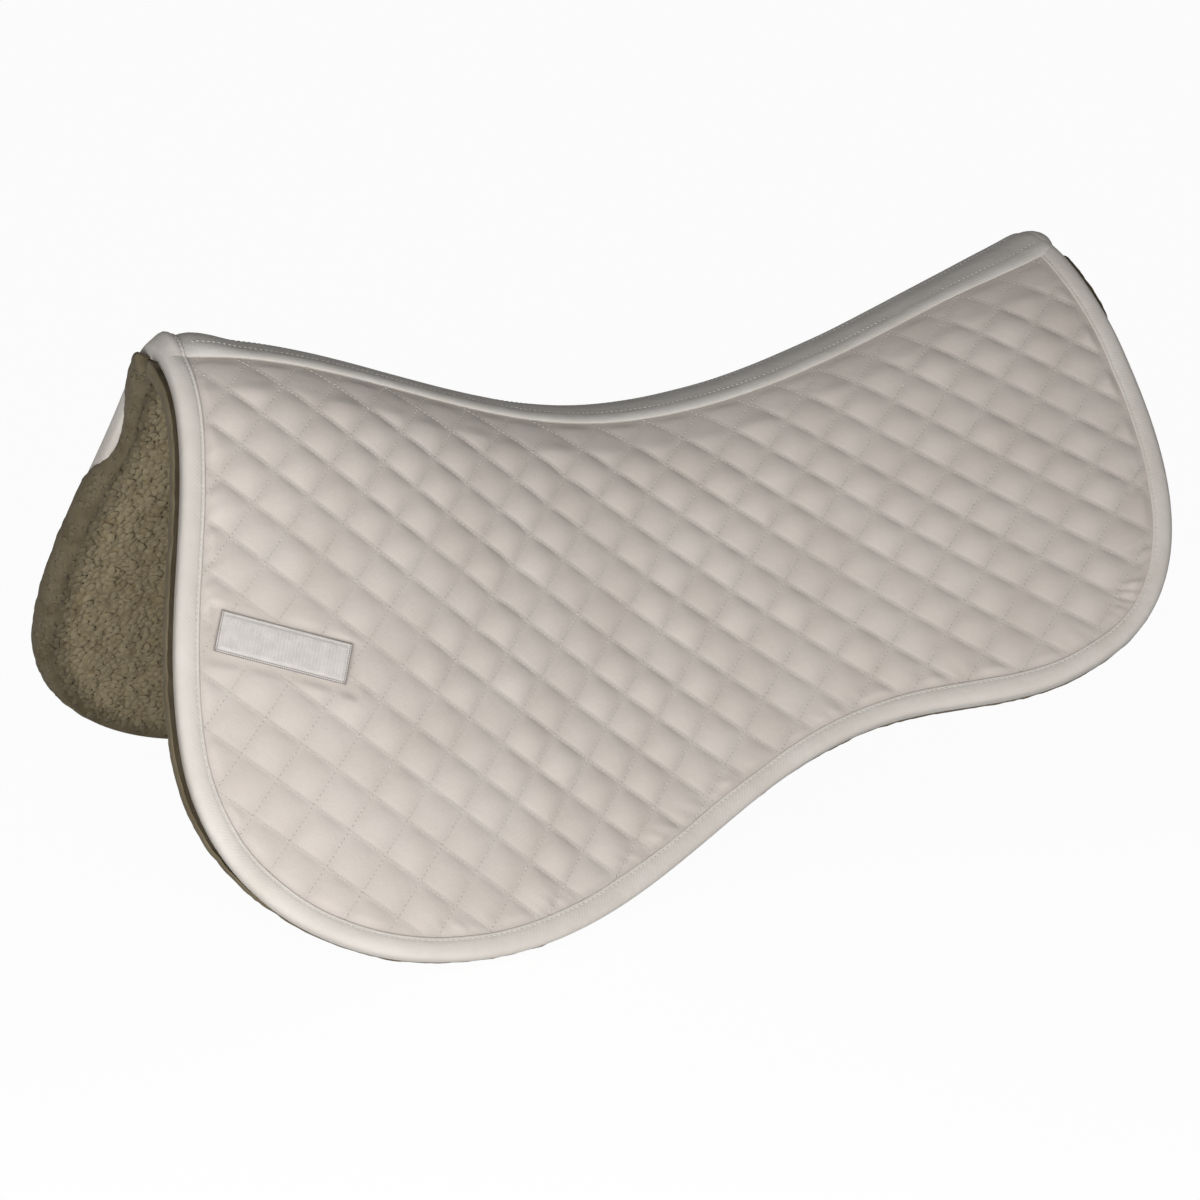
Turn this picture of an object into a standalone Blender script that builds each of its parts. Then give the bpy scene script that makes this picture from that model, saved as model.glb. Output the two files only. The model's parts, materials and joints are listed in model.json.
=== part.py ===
"""Sheepskin half pad for a saddle, modelled as it hangs over a horse's back.

Units are metres, +Z is up, +X runs to the rear of the pad and the horse's left is at -Y.
The origin is under the spine at its lowest point, where the pad rests on the back.

Every sewn piece follows one draped surface. A point of it is given by x, by the distance
down the cloth from the spine line (down), and by its height above the quilting's stitch
lines (rise), which is positive on the outside. Sides are -1 for the left, +1 for the right.
"""
import math

import bmesh
import bpy
import numpy as np
from mathutils import Vector

# Spine line, seen from the side: a dip between a front rise and a rear rise.
SPINE_FRONT_REACH = 0.305
SPINE_REAR_REACH = 0.323
SPINE_FRONT_RISE = 0.0696
SPINE_REAR_RISE = 0.0888
REAR_WAVE_SHARE = 0.680

# Cross section: the cloth turns from level at the spine to these slopes, in degrees.
SLOPE_FRONT = 60.7
SLOPE_REAR = 47.2
RIDGE_ROUND = 0.045

# Outline of one side, as distances along x from the lowest point and down the cloth.
FLAP_REACH = 0.342
FLAP_WIDEST_DOWN = 0.260
FLAP_LOW_X = -0.227
FLAP_DROP = 0.387
WAIST_X = 0.092
WAIST_DROP = 0.260
REAR_LOW_X = 0.236
REAR_DROP = 0.2935
REAR_EDGE_X = 0.332
REAR_EDGE_DOWN = 0.1165
FRONT_STRAIGHT = 0.030
REAR_CORNER_POWER = 2.6

# Layers, from the outside in.
COVER_CLOTH = 0.0010
QUILT_CELL = 0.0254
QUILT_RISE = 0.0042
QUILT_CORNER_X = -0.040
QUILT_CORNER_DOWN = 0.0396
QUILT_SHEAR_SLOPE = 61.0
PRESSED_RISE = 0.0003
PUFF_CLEAR_SHARE = 0.72
TOP_ROW_DEPTH = 0.024
TOP_ROW_SHARE = 0.55
WADDING_THICK = 0.0040
BACKING_THICK = 0.0006
HIDE_THICK = 0.0015
WOOL_THICK = 0.0120
WOOL_EDGE_SHARE = 0.45
LAYER_GAP = 0.0003
QUILT_GAP = 0.0012
WOOL_GAP = 0.0008
WOOL_EDGE_GAP = 0.0013

# Edge binding, a folded cotton tape.
BINDING_TAPE = 0.0012
BINDING_OUTER_LIP = 0.0135
BINDING_INNER_LIP = 0.0110
BINDING_CLEARANCE = 0.0009
BINDING_BULGE = 0.0022
EDGE_CLEARANCE = 0.0016

# Spine tape and the seam that it covers.
SPINE_TAPE_WIDTH = 0.0392
SPINE_TAPE_THICK = 0.0016
SEAM_TO_PANEL = 0.0004
SEAM_CLEARANCE = 0.0007

# Loop patch, one on each flap.
PATCH_LENGTH = 0.080
PATCH_WIDTH = 0.025
PATCH_THICK = 0.0018
PATCH_X = -0.273
PATCH_DOWN = 0.204
PATCH_TURN = 17.6
PATCH_SEAT = 0.0006
PATCH_MARGIN = 0.0025

# Corners of the binding's section that each flat piece of its ends joins.
BINDING_CAPS = [(0, 1, 8, 9), (1, 2, 3, 4, 7, 8), (4, 5, 6, 7)]

# Fineness of the meshes.
SHEET_COLUMNS = 18
SHEET_ROWS = 11
ROW_POWER = 1.7
SPINE_STEPS = 20
ACROSS_STEPS = 4
EDGE_STEPS = (60, 60, 80, 90, 40)
OUTLINE_STEPS = 400
TURN_STEPS = 800
TAPE_CHECK_STEPS = 199
BINDING_STEPS = (12, 11, 15, 10, 8)
HEM_STEPS = 44
SECTION_STEP = 0.002
WELD_DISTANCE = 0.000002

# Rises of each layer's outer face, worked out from the layers above it.
STITCH_LEVEL = 0.0
COVER_UNDERSIDE = STITCH_LEVEL - COVER_CLOTH
WADDING_TOP = COVER_UNDERSIDE - QUILT_GAP
BACKING_TOP = WADDING_TOP - WADDING_THICK - LAYER_GAP
HIDE_TOP = BACKING_TOP - BACKING_THICK - LAYER_GAP
HIDE_UNDERSIDE = HIDE_TOP - HIDE_THICK
WOOL_TOP = HIDE_UNDERSIDE - WOOL_GAP
LIP_UNDERSIDE = STITCH_LEVEL + BINDING_CLEARANCE
LIP_TOP = LIP_UNDERSIDE + BINDING_TAPE
INNER_LIP_TOP = HIDE_UNDERSIDE - BINDING_CLEARANCE
INNER_LIP_UNDERSIDE = INNER_LIP_TOP - BINDING_TAPE
SPINE_HALF = SPINE_TAPE_WIDTH / 2
PANEL_START = SPINE_HALF + SEAM_TO_PANEL
LAYER_INSET = BINDING_TAPE + EDGE_CLEARANCE
WOOL_INSET = BINDING_INNER_LIP + WOOL_EDGE_GAP


def spine_height(x):
    """Height of the spine line above its lowest point."""
    x = np.asarray(x, float)
    ahead = np.clip(-x / SPINE_FRONT_REACH, 0.0, 1.0)
    behind = np.clip(x / SPINE_REAR_REACH, 0.0, None)
    front = SPINE_FRONT_RISE * (1 - np.cos(math.pi * ahead)) / 2
    wave = math.pi * REAR_WAVE_SHARE
    rear = SPINE_REAR_RISE * (1 - np.cos(wave * behind)) / (1 - math.cos(wave))
    return front + rear


def cloth_surface(x, down):
    """Points of the right side's draped surface for arrays x and down."""
    x, down = np.broadcast_arrays(np.asarray(x, float), np.asarray(down, float))
    share = (x + SPINE_FRONT_REACH) / (SPINE_FRONT_REACH + SPINE_REAR_REACH)
    slope = np.radians(SLOPE_FRONT + (SLOPE_REAR - SLOPE_FRONT) * share)
    steps = max(2, int(FLAP_DROP / SECTION_STEP))
    part = np.linspace(0.0, 1.0, steps)
    along = down[..., None] * part
    angle = slope[..., None] * np.tanh(along / RIDGE_ROUND)
    pace = along[..., 1:] - along[..., :-1]
    middle = (angle[..., 1:] + angle[..., :-1]) / 2
    width = np.sum(np.cos(middle) * pace, axis=-1)
    fall = np.sum(np.sin(middle) * pace, axis=-1)
    return np.stack([x, width, spine_height(x) - fall], axis=-1)


def place(x, down, rise, side):
    """World points at a rise above the draped surface, on one side of the pad."""
    x = np.asarray(x, float)
    down = np.asarray(down, float)
    rise = np.asarray(rise, float)
    step = SECTION_STEP / 2
    points = cloth_surface(x, down)
    along_x = cloth_surface(x + step, down) - cloth_surface(x - step, down)
    along_down = cloth_surface(x, down + step) - cloth_surface(x, down - step)
    normal = np.cross(along_down, along_x)
    normal /= np.linalg.norm(normal, axis=-1, keepdims=True)
    upward = np.where(normal[..., 2:] < 0, -1.0, 1.0)
    points = points + normal * upward * rise[..., None]
    points[..., 1] *= side
    points[..., 2] -= INNER_LIP_UNDERSIDE
    return points


def ease(share):
    """Smooth step from 0 to 1 along half a cosine wave."""
    return (1 - np.cos(math.pi * np.asarray(share, float))) / 2


def front_edge(count):
    """Outline from the spine's front end down to the flap's foremost point."""
    down = np.linspace(0.0, FLAP_WIDEST_DOWN, count)
    share = np.clip((down - FRONT_STRAIGHT) / (FLAP_WIDEST_DOWN - FRONT_STRAIGHT), 0.0, 1.0)
    x = -SPINE_FRONT_REACH - (FLAP_REACH - SPINE_FRONT_REACH) * ease(share)
    return np.stack([x, down], axis=-1)


def flap_corner(count):
    """Outline round the front flap, a quarter of an ellipse."""
    turn = np.linspace(0.0, math.pi / 2, count)
    x = FLAP_LOW_X - (FLAP_REACH + FLAP_LOW_X) * np.cos(turn)
    down = FLAP_WIDEST_DOWN + (FLAP_DROP - FLAP_WIDEST_DOWN) * np.sin(turn)
    return np.stack([x, down], axis=-1)


def lower_edge(count):
    """Outline from the flap's lowest point over the waist to the rear's lowest point."""
    to_waist = np.linspace(0.0, 1.0, count)
    x1 = FLAP_LOW_X + (WAIST_X - FLAP_LOW_X) * to_waist
    d1 = FLAP_DROP + (WAIST_DROP - FLAP_DROP) * ease(to_waist)
    to_rear = np.linspace(0.0, 1.0, max(3, count // 2))
    x2 = WAIST_X + (REAR_LOW_X - WAIST_X) * to_rear
    d2 = WAIST_DROP + (REAR_DROP - WAIST_DROP) * ease(to_rear)
    first = np.stack([x1, d1], axis=-1)
    second = np.stack([x2, d2], axis=-1)
    return np.concatenate([first, second[1:]])


def rear_corner(count):
    """Outline round the rear lobe, a quarter of a full-cornered ellipse."""
    turn = np.linspace(0.0, math.pi / 2, count)
    power = 2 / REAR_CORNER_POWER
    x = REAR_LOW_X + (REAR_EDGE_X - REAR_LOW_X) * np.sin(turn) ** power
    down = REAR_EDGE_DOWN + (REAR_DROP - REAR_EDGE_DOWN) * np.clip(np.cos(turn), 0, 1) ** power
    return np.stack([x, down], axis=-1)


def rear_edge(count):
    """Outline from the rear lobe back up to the spine's rear end."""
    down = np.linspace(REAR_EDGE_DOWN, 0.0, count)
    share = 1 - down / REAR_EDGE_DOWN
    x = REAR_EDGE_X + (SPINE_REAR_REACH - REAR_EDGE_X) * ease(share)
    return np.stack([x, down], axis=-1)


def resample(path, shares):
    """Points at given shares of a path's length."""
    lengths = np.concatenate([[0.0], np.cumsum(np.linalg.norm(np.diff(path, axis=0), axis=1))])
    at = np.asarray(shares) * lengths[-1]
    return np.stack([np.interp(at, lengths, path[:, k]) for k in range(2)], axis=-1)


def whole_outline():
    """The outline from the spine's front end round to its rear end, finely stepped."""
    stretches = (front_edge, flap_corner, lower_edge, rear_corner, rear_edge)
    parts = [stretch(steps)[1:] for stretch, steps in zip(stretches, EDGE_STEPS)]
    return np.concatenate([front_edge(EDGE_STEPS[0])[:1]] + parts)


def inset_outline(inset):
    """The outline moved inwards over the cloth, cut off at the panel's top edge."""
    path = resample(whole_outline(), np.linspace(0.0, 1.0, OUTLINE_STEPS + 1))
    tangent = np.gradient(path, axis=0)
    tangent /= np.linalg.norm(tangent, axis=1, keepdims=True)
    inward = np.stack([tangent[:, 1], -tangent[:, 0]], axis=-1)
    moved = path + inward * inset
    inside = moved[moved[:, 1] > PANEL_START]
    first = np.array([[inside[0, 0], PANEL_START]])
    last = np.array([[inside[-1, 0], PANEL_START]])
    return np.concatenate([first, inside, last])


def corner_share(path, x, down):
    """Share of a path's length at the point that is nearest to x, down."""
    lengths = np.concatenate([[0.0], np.cumsum(np.linalg.norm(np.diff(path, axis=0), axis=1))])
    nearest = np.argmin(np.hypot(path[:, 0] - x, path[:, 1] - down))
    return lengths[nearest] / lengths[-1]


def sheet_grid(inset, columns=SHEET_COLUMNS, rows=SHEET_ROWS):
    """Rows of x, down points that fill one side's outline, from the spine to the hem."""
    path = inset_outline(inset)
    half = math.sqrt(0.5)
    front_x = FLAP_LOW_X - (FLAP_REACH + FLAP_LOW_X) * half
    front_down = FLAP_WIDEST_DOWN + (FLAP_DROP - FLAP_WIDEST_DOWN) * half
    corner_1 = corner_share(path, front_x, front_down)
    corner_2 = corner_share(path, REAR_EDGE_X, REAR_DROP)
    down_share = np.linspace(0.0, 1.0, rows + 1) ** ROW_POWER
    along_share = np.linspace(0.0, 1.0, columns + 1)
    left = resample(path, down_share * corner_1)
    right = resample(path, 1 - down_share * (1 - corner_2))
    bottom = resample(path, corner_1 + along_share * (corner_2 - corner_1))
    top = left[0] + along_share[:, None] * (right[0] - left[0])
    v = down_share[:, None, None]
    u = along_share[None, :, None]
    ruled_v = (1 - v) * top[None] + v * bottom[None]
    ruled_u = (1 - u) * left[:, None] + u * right[:, None]
    corners = (1 - v) * ((1 - u) * top[0] + u * top[-1]) + v * ((1 - u) * bottom[0] + u * bottom[-1])
    return ruled_v + ruled_u - corners


def make_material(name, colour, roughness, metallic=0.0):
    material = bpy.data.materials.new(name)
    material.use_nodes = True
    shader = material.node_tree.nodes["Principled BSDF"]
    shader.inputs["Base Color"].default_value = (*colour, 1.0)
    shader.inputs["Roughness"].default_value = roughness
    shader.inputs["Metallic"].default_value = metallic
    return material


def add_object(name, mesh, material, holder=None):
    """Put a mesh, given in world coordinates, into the pad under its fold line's empty."""
    item = bpy.data.objects.new(name, mesh)
    pad.objects.link(item)
    mesh.materials.append(material)
    if holder:
        for vertex in mesh.vertices:
            vertex.co -= holder.location
        item.parent = holder
    mesh.shade_smooth()
    mesh.set_sharp_from_angle(angle=math.radians(40))
    return item


def finish_mesh(shape, name):
    bmesh.ops.recalc_face_normals(shape, faces=shape.faces)
    if shape.calc_volume(signed=True) < 0:
        bmesh.ops.reverse_faces(shape, faces=shape.faces)
    mesh = bpy.data.meshes.new(name)
    shape.to_mesh(mesh)
    shape.free()
    return mesh


def add_sheet(name, points, thickness, side, material, holder=None, edge_share=1.0):
    """A cloth layer: an open grid through the points, given its thickness inwards."""
    rows, columns = points.shape[:2]
    shape = bmesh.new()
    bmesh.ops.create_grid(shape, x_segments=columns - 1, y_segments=rows - 1, size=0.5)
    shape.verts.ensure_lookup_table()
    for number, vertex in enumerate(shape.verts):
        vertex.co = Vector(points[number // columns, number % columns])
    if side < 0:
        bmesh.ops.reverse_faces(shape, faces=shape.faces)
    mesh = bpy.data.meshes.new(name)
    shape.to_mesh(mesh)
    shape.free()
    item = add_object(name, mesh, material, holder)
    wall = item.modifiers.new("thickness", "SOLIDIFY")
    wall.thickness = thickness
    wall.offset = -1.0
    if edge_share < 1.0:
        group = item.vertex_groups.new(name="pile")
        for number in range(rows * columns):
            row, column = divmod(number, columns)
            on_edge = row in (0, rows - 1) or column in (0, columns - 1)
            group.add([number], edge_share if on_edge else 1.0, "REPLACE")
        wall.vertex_group = group.name
    return item


def patch_frame():
    """Centre and length, width and outward directions of the right side's loop patch."""
    middle = place(PATCH_X, PATCH_DOWN, PATCH_SEAT, 1.0)
    turn = math.radians(PATCH_TURN)
    half = SECTION_STEP / 2
    ahead = (half * math.cos(turn), half * math.sin(turn))
    length_way = place(PATCH_X + ahead[0], PATCH_DOWN + ahead[1], 0.0, 1.0)
    length_way = length_way - place(PATCH_X - ahead[0], PATCH_DOWN - ahead[1], 0.0, 1.0)
    normal = middle - place(PATCH_X, PATCH_DOWN, 0.0, 1.0)
    length_way /= np.linalg.norm(length_way)
    normal /= np.linalg.norm(normal)
    return middle, length_way, np.cross(normal, length_way), normal


def patch_corners(margin):
    """Corners of the loop patch on the flat cloth, moved out by a margin."""
    length_way, width_way = patch_frame()[1:3]
    step = SECTION_STEP / 2
    foot = place(PATCH_X, PATCH_DOWN, 0.0, 1.0)
    along_x = (place(PATCH_X + step, PATCH_DOWN, 0.0, 1.0) - foot) / step
    along_down = (place(PATCH_X, PATCH_DOWN + step, 0.0, 1.0) - foot) / step
    basis = np.stack([along_x, along_down], axis=-1)
    corners = []
    for a, b in ((-1, -1), (1, -1), (1, 1), (-1, 1)):
        corner = length_way * a * (PATCH_LENGTH / 2 + margin)
        corner = corner + width_way * b * (PATCH_WIDTH / 2 + margin)
        x, down = np.linalg.lstsq(basis, corner, rcond=None)[0]
        corners.append((PATCH_X + x, PATCH_DOWN + down))
    return corners


def beyond_patch(corners, x, down):
    """How far a point lies outside the loop patch's outline, negative within it."""
    distances = []
    for start, end in zip(corners, corners[1:] + corners[:1]):
        run = (end[0] - start[0], end[1] - start[1])
        outward = (run[1] * (x - start[0]) - run[0] * (down - start[1])) / math.hypot(*run)
        distances.append(outward)
    return max(distances)


def quilt_lattice():
    """Flat quilted cloth: x, down and rise stand for X, Y and Z until it is draped.

    Odd lattice points are puffs. One that reaches the binding or the patch is pressed down,
    and one that is mostly under either is left flat. The row along the spine tape is lower.
    """
    step = QUILT_CELL * math.sqrt(0.5)
    shear = math.sin(math.radians(QUILT_SHEAR_SLOPE))
    first = -int((FLAP_REACH - QUILT_CORNER_X) / step) - 3
    last = int((REAR_EDGE_X - QUILT_CORNER_X) / step) + 3
    lift = shear * max(SPINE_FRONT_RISE, SPINE_REAR_RISE)
    top_row = -int((lift + QUILT_CORNER_DOWN) / step) - 3
    low_row = int((FLAP_DROP - QUILT_CORNER_DOWN) / step) + 3
    hem = resample(inset_outline(0.0), np.linspace(0.0, 1.0, TAPE_CHECK_STEPS + 1))
    hem = hem[hem[:, 1] > PANEL_START]
    patch = patch_corners(PATCH_MARGIN)
    shape = bmesh.new()
    upper = {}
    lower = {}
    for i in range(first, last + 1):
        x = QUILT_CORNER_X + i * step
        for j in range(top_row, low_row + 1):
            down = QUILT_CORNER_DOWN + j * step + shear * float(spine_height(x))
            if not -2 * step < down < FLAP_DROP + 2 * step:
                continue
            if (i + j) % 2 == 0:
                upper[i, j] = shape.verts.new((x, down, STITCH_LEVEL))
                lower[i, j] = shape.verts.new((x, down, COVER_UNDERSIDE))
                continue
            to_tape = np.min(np.hypot(hem[:, 0] - x, hem[:, 1] - down)) - BINDING_OUTER_LIP
            clear = min(to_tape, beyond_patch(patch, x, down)) / step
            if clear > PUFF_CLEAR_SHARE:
                rise = min(QUILT_RISE, PRESSED_RISE / max(1 - clear, PRESSED_RISE / QUILT_RISE))
                if down < PANEL_START + TOP_ROW_DEPTH:
                    rise = min(rise, QUILT_RISE * TOP_ROW_SHARE)
                upper[i, j] = shape.verts.new((x, down, rise))
    for i in range(first, last + 1):
        for j in range(top_row, low_row + 1):
            ring = [(i + 1, j), (i, j + 1), (i - 1, j), (i, j - 1)]
            if (i + j) % 2 == 0 or not all(key in lower for key in ring):
                continue
            rear, low, front, high = [lower[key] for key in ring]
            shape.faces.new((rear, front, low))
            shape.faces.new((front, rear, high))
            rear, low, front, high = [upper[key] for key in ring]
            if (i, j) in upper:
                for start, end in ((rear, low), (low, front), (front, high), (high, rear)):
                    shape.faces.new((upper[i, j], start, end))
            else:
                shape.faces.new((rear, low, front))
                shape.faces.new((front, high, rear))
    rim = [edge for edge in shape.edges if edge.is_boundary and edge.verts[0] in set(upper.values())]
    below = {vertex: lower[key] for key, vertex in upper.items() if key in lower}
    for edge in rim:
        start, end = edge.verts
        shape.faces.new((start, end, below[end], below[start]))
    bmesh.ops.delete(shape, geom=[v for v in shape.verts if not v.link_faces], context="VERTS")
    return finish_mesh(shape, "quilt_lattice")


def prism(points, low, high, name):
    """A flat outline raised into a cutter between two rises."""
    shape = bmesh.new()
    base = shape.faces.new([shape.verts.new((x, down, low)) for x, down in points])
    grown = bmesh.ops.extrude_face_region(shape, geom=[base])["geom"]
    for item in grown:
        if isinstance(item, bmesh.types.BMVert):
            item.co.z = high
    mesh = finish_mesh(shape, name)
    cutter = bpy.data.objects.new(name, mesh)
    cutters.objects.link(cutter)
    cutter.hide_render = True
    cutter.display_type = "WIRE"
    return cutter


def trimmed_quilt():
    """The quilted cloth cut to the outline, still flat."""
    blank = bpy.data.objects.new("quilt_blank", quilt_lattice())
    cutters.objects.link(blank)
    tall = QUILT_RISE + WADDING_THICK
    hem = resample(inset_outline(LAYER_INSET), np.linspace(0.0, 1.0, HEM_STEPS + 1))
    cutter = prism(hem, -tall, tall, "hem_cutter")
    cut = blank.modifiers.new("hem", "BOOLEAN")
    cut.object = cutter
    cut.operation = "INTERSECT"
    cut.solver = "EXACT"
    bpy.context.view_layer.update()
    graph = bpy.context.evaluated_depsgraph_get()
    flat = bpy.data.meshes.new_from_object(blank.evaluated_get(graph))
    bpy.data.objects.remove(blank)
    bpy.data.objects.remove(cutter)
    return flat


def add_cover(name, flat, side, material, holder):
    """The quilted cover: the trimmed cloth bent over the draped surface."""
    shape = bmesh.new()
    shape.from_mesh(flat)
    bmesh.ops.remove_doubles(shape, verts=shape.verts, dist=WELD_DISTANCE)
    bmesh.ops.triangulate(shape, faces=shape.faces)
    flat_points = np.array([vertex.co for vertex in shape.verts])
    draped = place(flat_points[:, 0], flat_points[:, 1], flat_points[:, 2], side)
    for vertex, point in zip(shape.verts, draped):
        vertex.co = Vector(point)
    return add_object(name, finish_mesh(shape, name), material, holder)


def binding_section():
    """The folded tape's cross section as distance in from the edge, and rise.

    BINDING_CAPS names the corners of each flat piece that closes its ends.
    """
    return [
        (BINDING_OUTER_LIP, LIP_TOP),
        (BINDING_BULGE, LIP_TOP),
        (0.0, LIP_TOP - BINDING_BULGE),
        (0.0, INNER_LIP_UNDERSIDE + BINDING_BULGE),
        (BINDING_BULGE, INNER_LIP_UNDERSIDE),
        (BINDING_INNER_LIP, INNER_LIP_UNDERSIDE),
        (BINDING_INNER_LIP, INNER_LIP_TOP),
        (BINDING_TAPE, INNER_LIP_TOP),
        (BINDING_TAPE, LIP_UNDERSIDE),
        (BINDING_OUTER_LIP, LIP_UNDERSIDE),
    ]


def loft(rings, caps, name):
    """Join equal rings of points into one closed skin, with each end filled by the caps."""
    shape = bmesh.new()
    rows = [[shape.verts.new(Vector(point)) for point in ring] for ring in rings]
    for first, second in zip(rows, rows[1:]):
        for k in range(len(first)):
            n = (k + 1) % len(first)
            shape.faces.new((first[k], first[n], second[n], second[k]))
    for end in (rows[0], rows[-1]):
        for corners in caps:
            shape.faces.new([end[k] for k in corners])
    return finish_mesh(shape, name)


def add_edge_binding(name, side, material, holder):
    """Tape folded round one side's whole edge, from the spine's front to its rear."""
    path = inset_outline(0.0)
    bends = [corner_share(path, *flap_corner(3)[k]) for k in (0, 2)]
    bends += [corner_share(path, *rear_corner(3)[k]) for k in (0, 2)]
    stops = [0.0] + bends + [1.0]
    shares = [0.0]
    for start, end, count in zip(stops, stops[1:], BINDING_STEPS):
        pace = np.linspace(0.0, 1.0, count + 1)[1:]
        if start == stops[0]:
            pace = pace ** ROW_POWER
        if end == stops[-1]:
            pace = 1 - (1 - pace) ** ROW_POWER
        shares += list(start + (end - start) * pace)
    fine = resample(path, np.linspace(0.0, 1.0, TURN_STEPS + 1))
    tangent = np.gradient(fine, axis=0)
    tangent[0], tangent[-1] = (0.0, 1.0), (0.0, -1.0)
    tangent /= np.linalg.norm(tangent, axis=1, keepdims=True)
    rings = []
    for share in shares:
        at = int(round(share * TURN_STEPS))
        inward = np.array([tangent[at, 1], -tangent[at, 0]])
        spots = [fine[at] + inward * depth for depth, rise in binding_section()]
        rises = [rise for depth, rise in binding_section()]
        spots = np.array(spots)
        rings.append(place(spots[:, 0], spots[:, 1], rises, side))
    return add_object(name, loft(rings, BINDING_CAPS, name), material, holder)


def across_spine(x, across, rise):
    """World points over the ridge, with across positive on the right side."""
    across = np.asarray(across, float)
    side = np.where(across < 0, -1.0, 1.0)
    points = place(x, np.abs(across), rise, 1.0)
    points[..., 1] *= side
    return points


def add_end_binding(name, x_end, inward, material):
    """Tape folded over one end of the spine, between the two sides' bindings."""
    rings = []
    for across in np.linspace(-SPINE_HALF, SPINE_HALF, ACROSS_STEPS + 1):
        section = binding_section()
        x = np.array([x_end + inward * depth for depth, rise in section])
        rise = np.array([rise for depth, rise in section])
        rings.append(across_spine(x, np.full(len(section), across), rise))
    return add_object(name, loft(rings, BINDING_CAPS, name), material)


def add_spine_strip(name, x_start, x_end, top, thickness, material):
    """A strip along the spine, as wide as the spine tape."""
    across = np.linspace(-SPINE_HALF, SPINE_HALF, ACROSS_STEPS + 1)
    section = np.concatenate([across, across[::-1]])
    rise = np.where(np.arange(len(section)) <= ACROSS_STEPS, top, top - thickness)
    last = len(section) - 1
    caps = [(k, k + 1, last - k - 1, last - k) for k in range(ACROSS_STEPS)]
    rings = []
    for x in np.linspace(x_start, x_end, SPINE_STEPS + 1):
        rings.append(across_spine(np.full(len(section), x), section, rise))
    return add_object(name, loft(rings, caps, name), material)


def add_patch(name, side, material, holder):
    """A flat rectangle of loop tape, sewn to the flap."""
    mirror = np.array([1.0, side, 1.0])
    middle, length_way, width_way, normal = [Vector(way * mirror) for way in patch_frame()]
    shape = bmesh.new()
    bmesh.ops.create_cube(shape, size=1.0)
    for vertex in shape.verts:
        flat = vertex.co.copy()
        vertex.co = middle + length_way * flat.x * PATCH_LENGTH
        vertex.co += width_way * flat.y * PATCH_WIDTH + normal * (flat.z + 0.5) * PATCH_THICK
    return add_object(name, finish_mesh(shape, name), material, holder)


def hinge_end(x, side):
    """Outer top corner of the spine tape's end, where one side's fold line passes."""
    return Vector(place(x, PANEL_START, np.array(LIP_TOP), side))


for old in list(bpy.data.objects):
    bpy.data.objects.remove(old, do_unlink=True)

pad = bpy.data.collections.new("sheepskin_half_pad")
cutters = bpy.data.collections.new("cutters")
bpy.context.scene.collection.children.link(pad)
bpy.context.scene.collection.children.link(cutters)

cotton = make_material("quilted_cotton", (0.62, 0.58, 0.53), 0.9)
wadding = make_material("wadding", (0.85, 0.85, 0.82), 1.0)
scrim = make_material("backing_cloth", (0.78, 0.75, 0.70), 0.9)
leather = make_material("sheepskin_hide", (0.72, 0.62, 0.48), 0.7)
wool = make_material("wool_pile", (0.66, 0.56, 0.40), 1.0)
binding_cloth = make_material("binding_tape", (0.66, 0.61, 0.56), 0.85)
loop_tape = make_material("loop_tape", (0.68, 0.64, 0.60), 0.95)

quilt = trimmed_quilt()
layer_grid = sheet_grid(LAYER_INSET)
wool_grid = sheet_grid(WOOL_INSET)

for side_name, side in (("left", -1.0), ("right", 1.0)):
    holder = bpy.data.objects.new(side_name + "_fold_line", None)
    pad.objects.link(holder)
    holder.location = (hinge_end(-SPINE_FRONT_REACH, side) + hinge_end(SPINE_REAR_REACH, side)) / 2
    add_cover(side_name + "_quilted_cover", quilt, side, cotton, holder)
    layers = [
        ("_wadding", WADDING_TOP, WADDING_THICK, wadding),
        ("_backing_cloth", BACKING_TOP, BACKING_THICK, scrim),
        ("_sheepskin_hide", HIDE_TOP, HIDE_THICK, leather),
    ]
    for ending, top, thickness, material in layers:
        rises = np.full(layer_grid.shape[:2], top)
        points = place(layer_grid[..., 0], layer_grid[..., 1], rises, side)
        add_sheet(side_name + ending, points, thickness, side, material, holder)
    rises = np.full(wool_grid.shape[:2], WOOL_TOP)
    points = place(wool_grid[..., 0], wool_grid[..., 1], rises, side)
    add_sheet(side_name + "_wool_pile", points, WOOL_THICK, side, wool, holder, WOOL_EDGE_SHARE)
    add_edge_binding(side_name + "_edge_binding", side, binding_cloth, holder)
    add_patch(side_name + "_loop_patch", side, loop_tape, holder)

bpy.data.meshes.remove(quilt)

outer_start = -SPINE_FRONT_REACH + BINDING_OUTER_LIP + LAYER_GAP
outer_end = SPINE_REAR_REACH - BINDING_OUTER_LIP - LAYER_GAP
inner_start = -SPINE_FRONT_REACH + BINDING_INNER_LIP + LAYER_GAP
inner_end = SPINE_REAR_REACH - BINDING_INNER_LIP - LAYER_GAP
seam_start = -SPINE_FRONT_REACH + LAYER_INSET
seam_end = SPINE_REAR_REACH - LAYER_INSET
seam_top = LIP_UNDERSIDE - SEAM_CLEARANCE
seam_thick = seam_top - INNER_LIP_TOP - SEAM_CLEARANCE
add_spine_strip("spine_tape", outer_start, outer_end, LIP_UNDERSIDE + SPINE_TAPE_THICK,
                SPINE_TAPE_THICK, binding_cloth)
add_spine_strip("spine_seam", seam_start, seam_end, seam_top, seam_thick, cotton)
add_spine_strip("spine_lining_tape", inner_start, inner_end, INNER_LIP_TOP, BINDING_TAPE, binding_cloth)
add_end_binding("front_spine_binding", -SPINE_FRONT_REACH, 1.0, binding_cloth)
add_end_binding("rear_spine_binding", SPINE_REAR_REACH, -1.0, binding_cloth)
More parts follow.
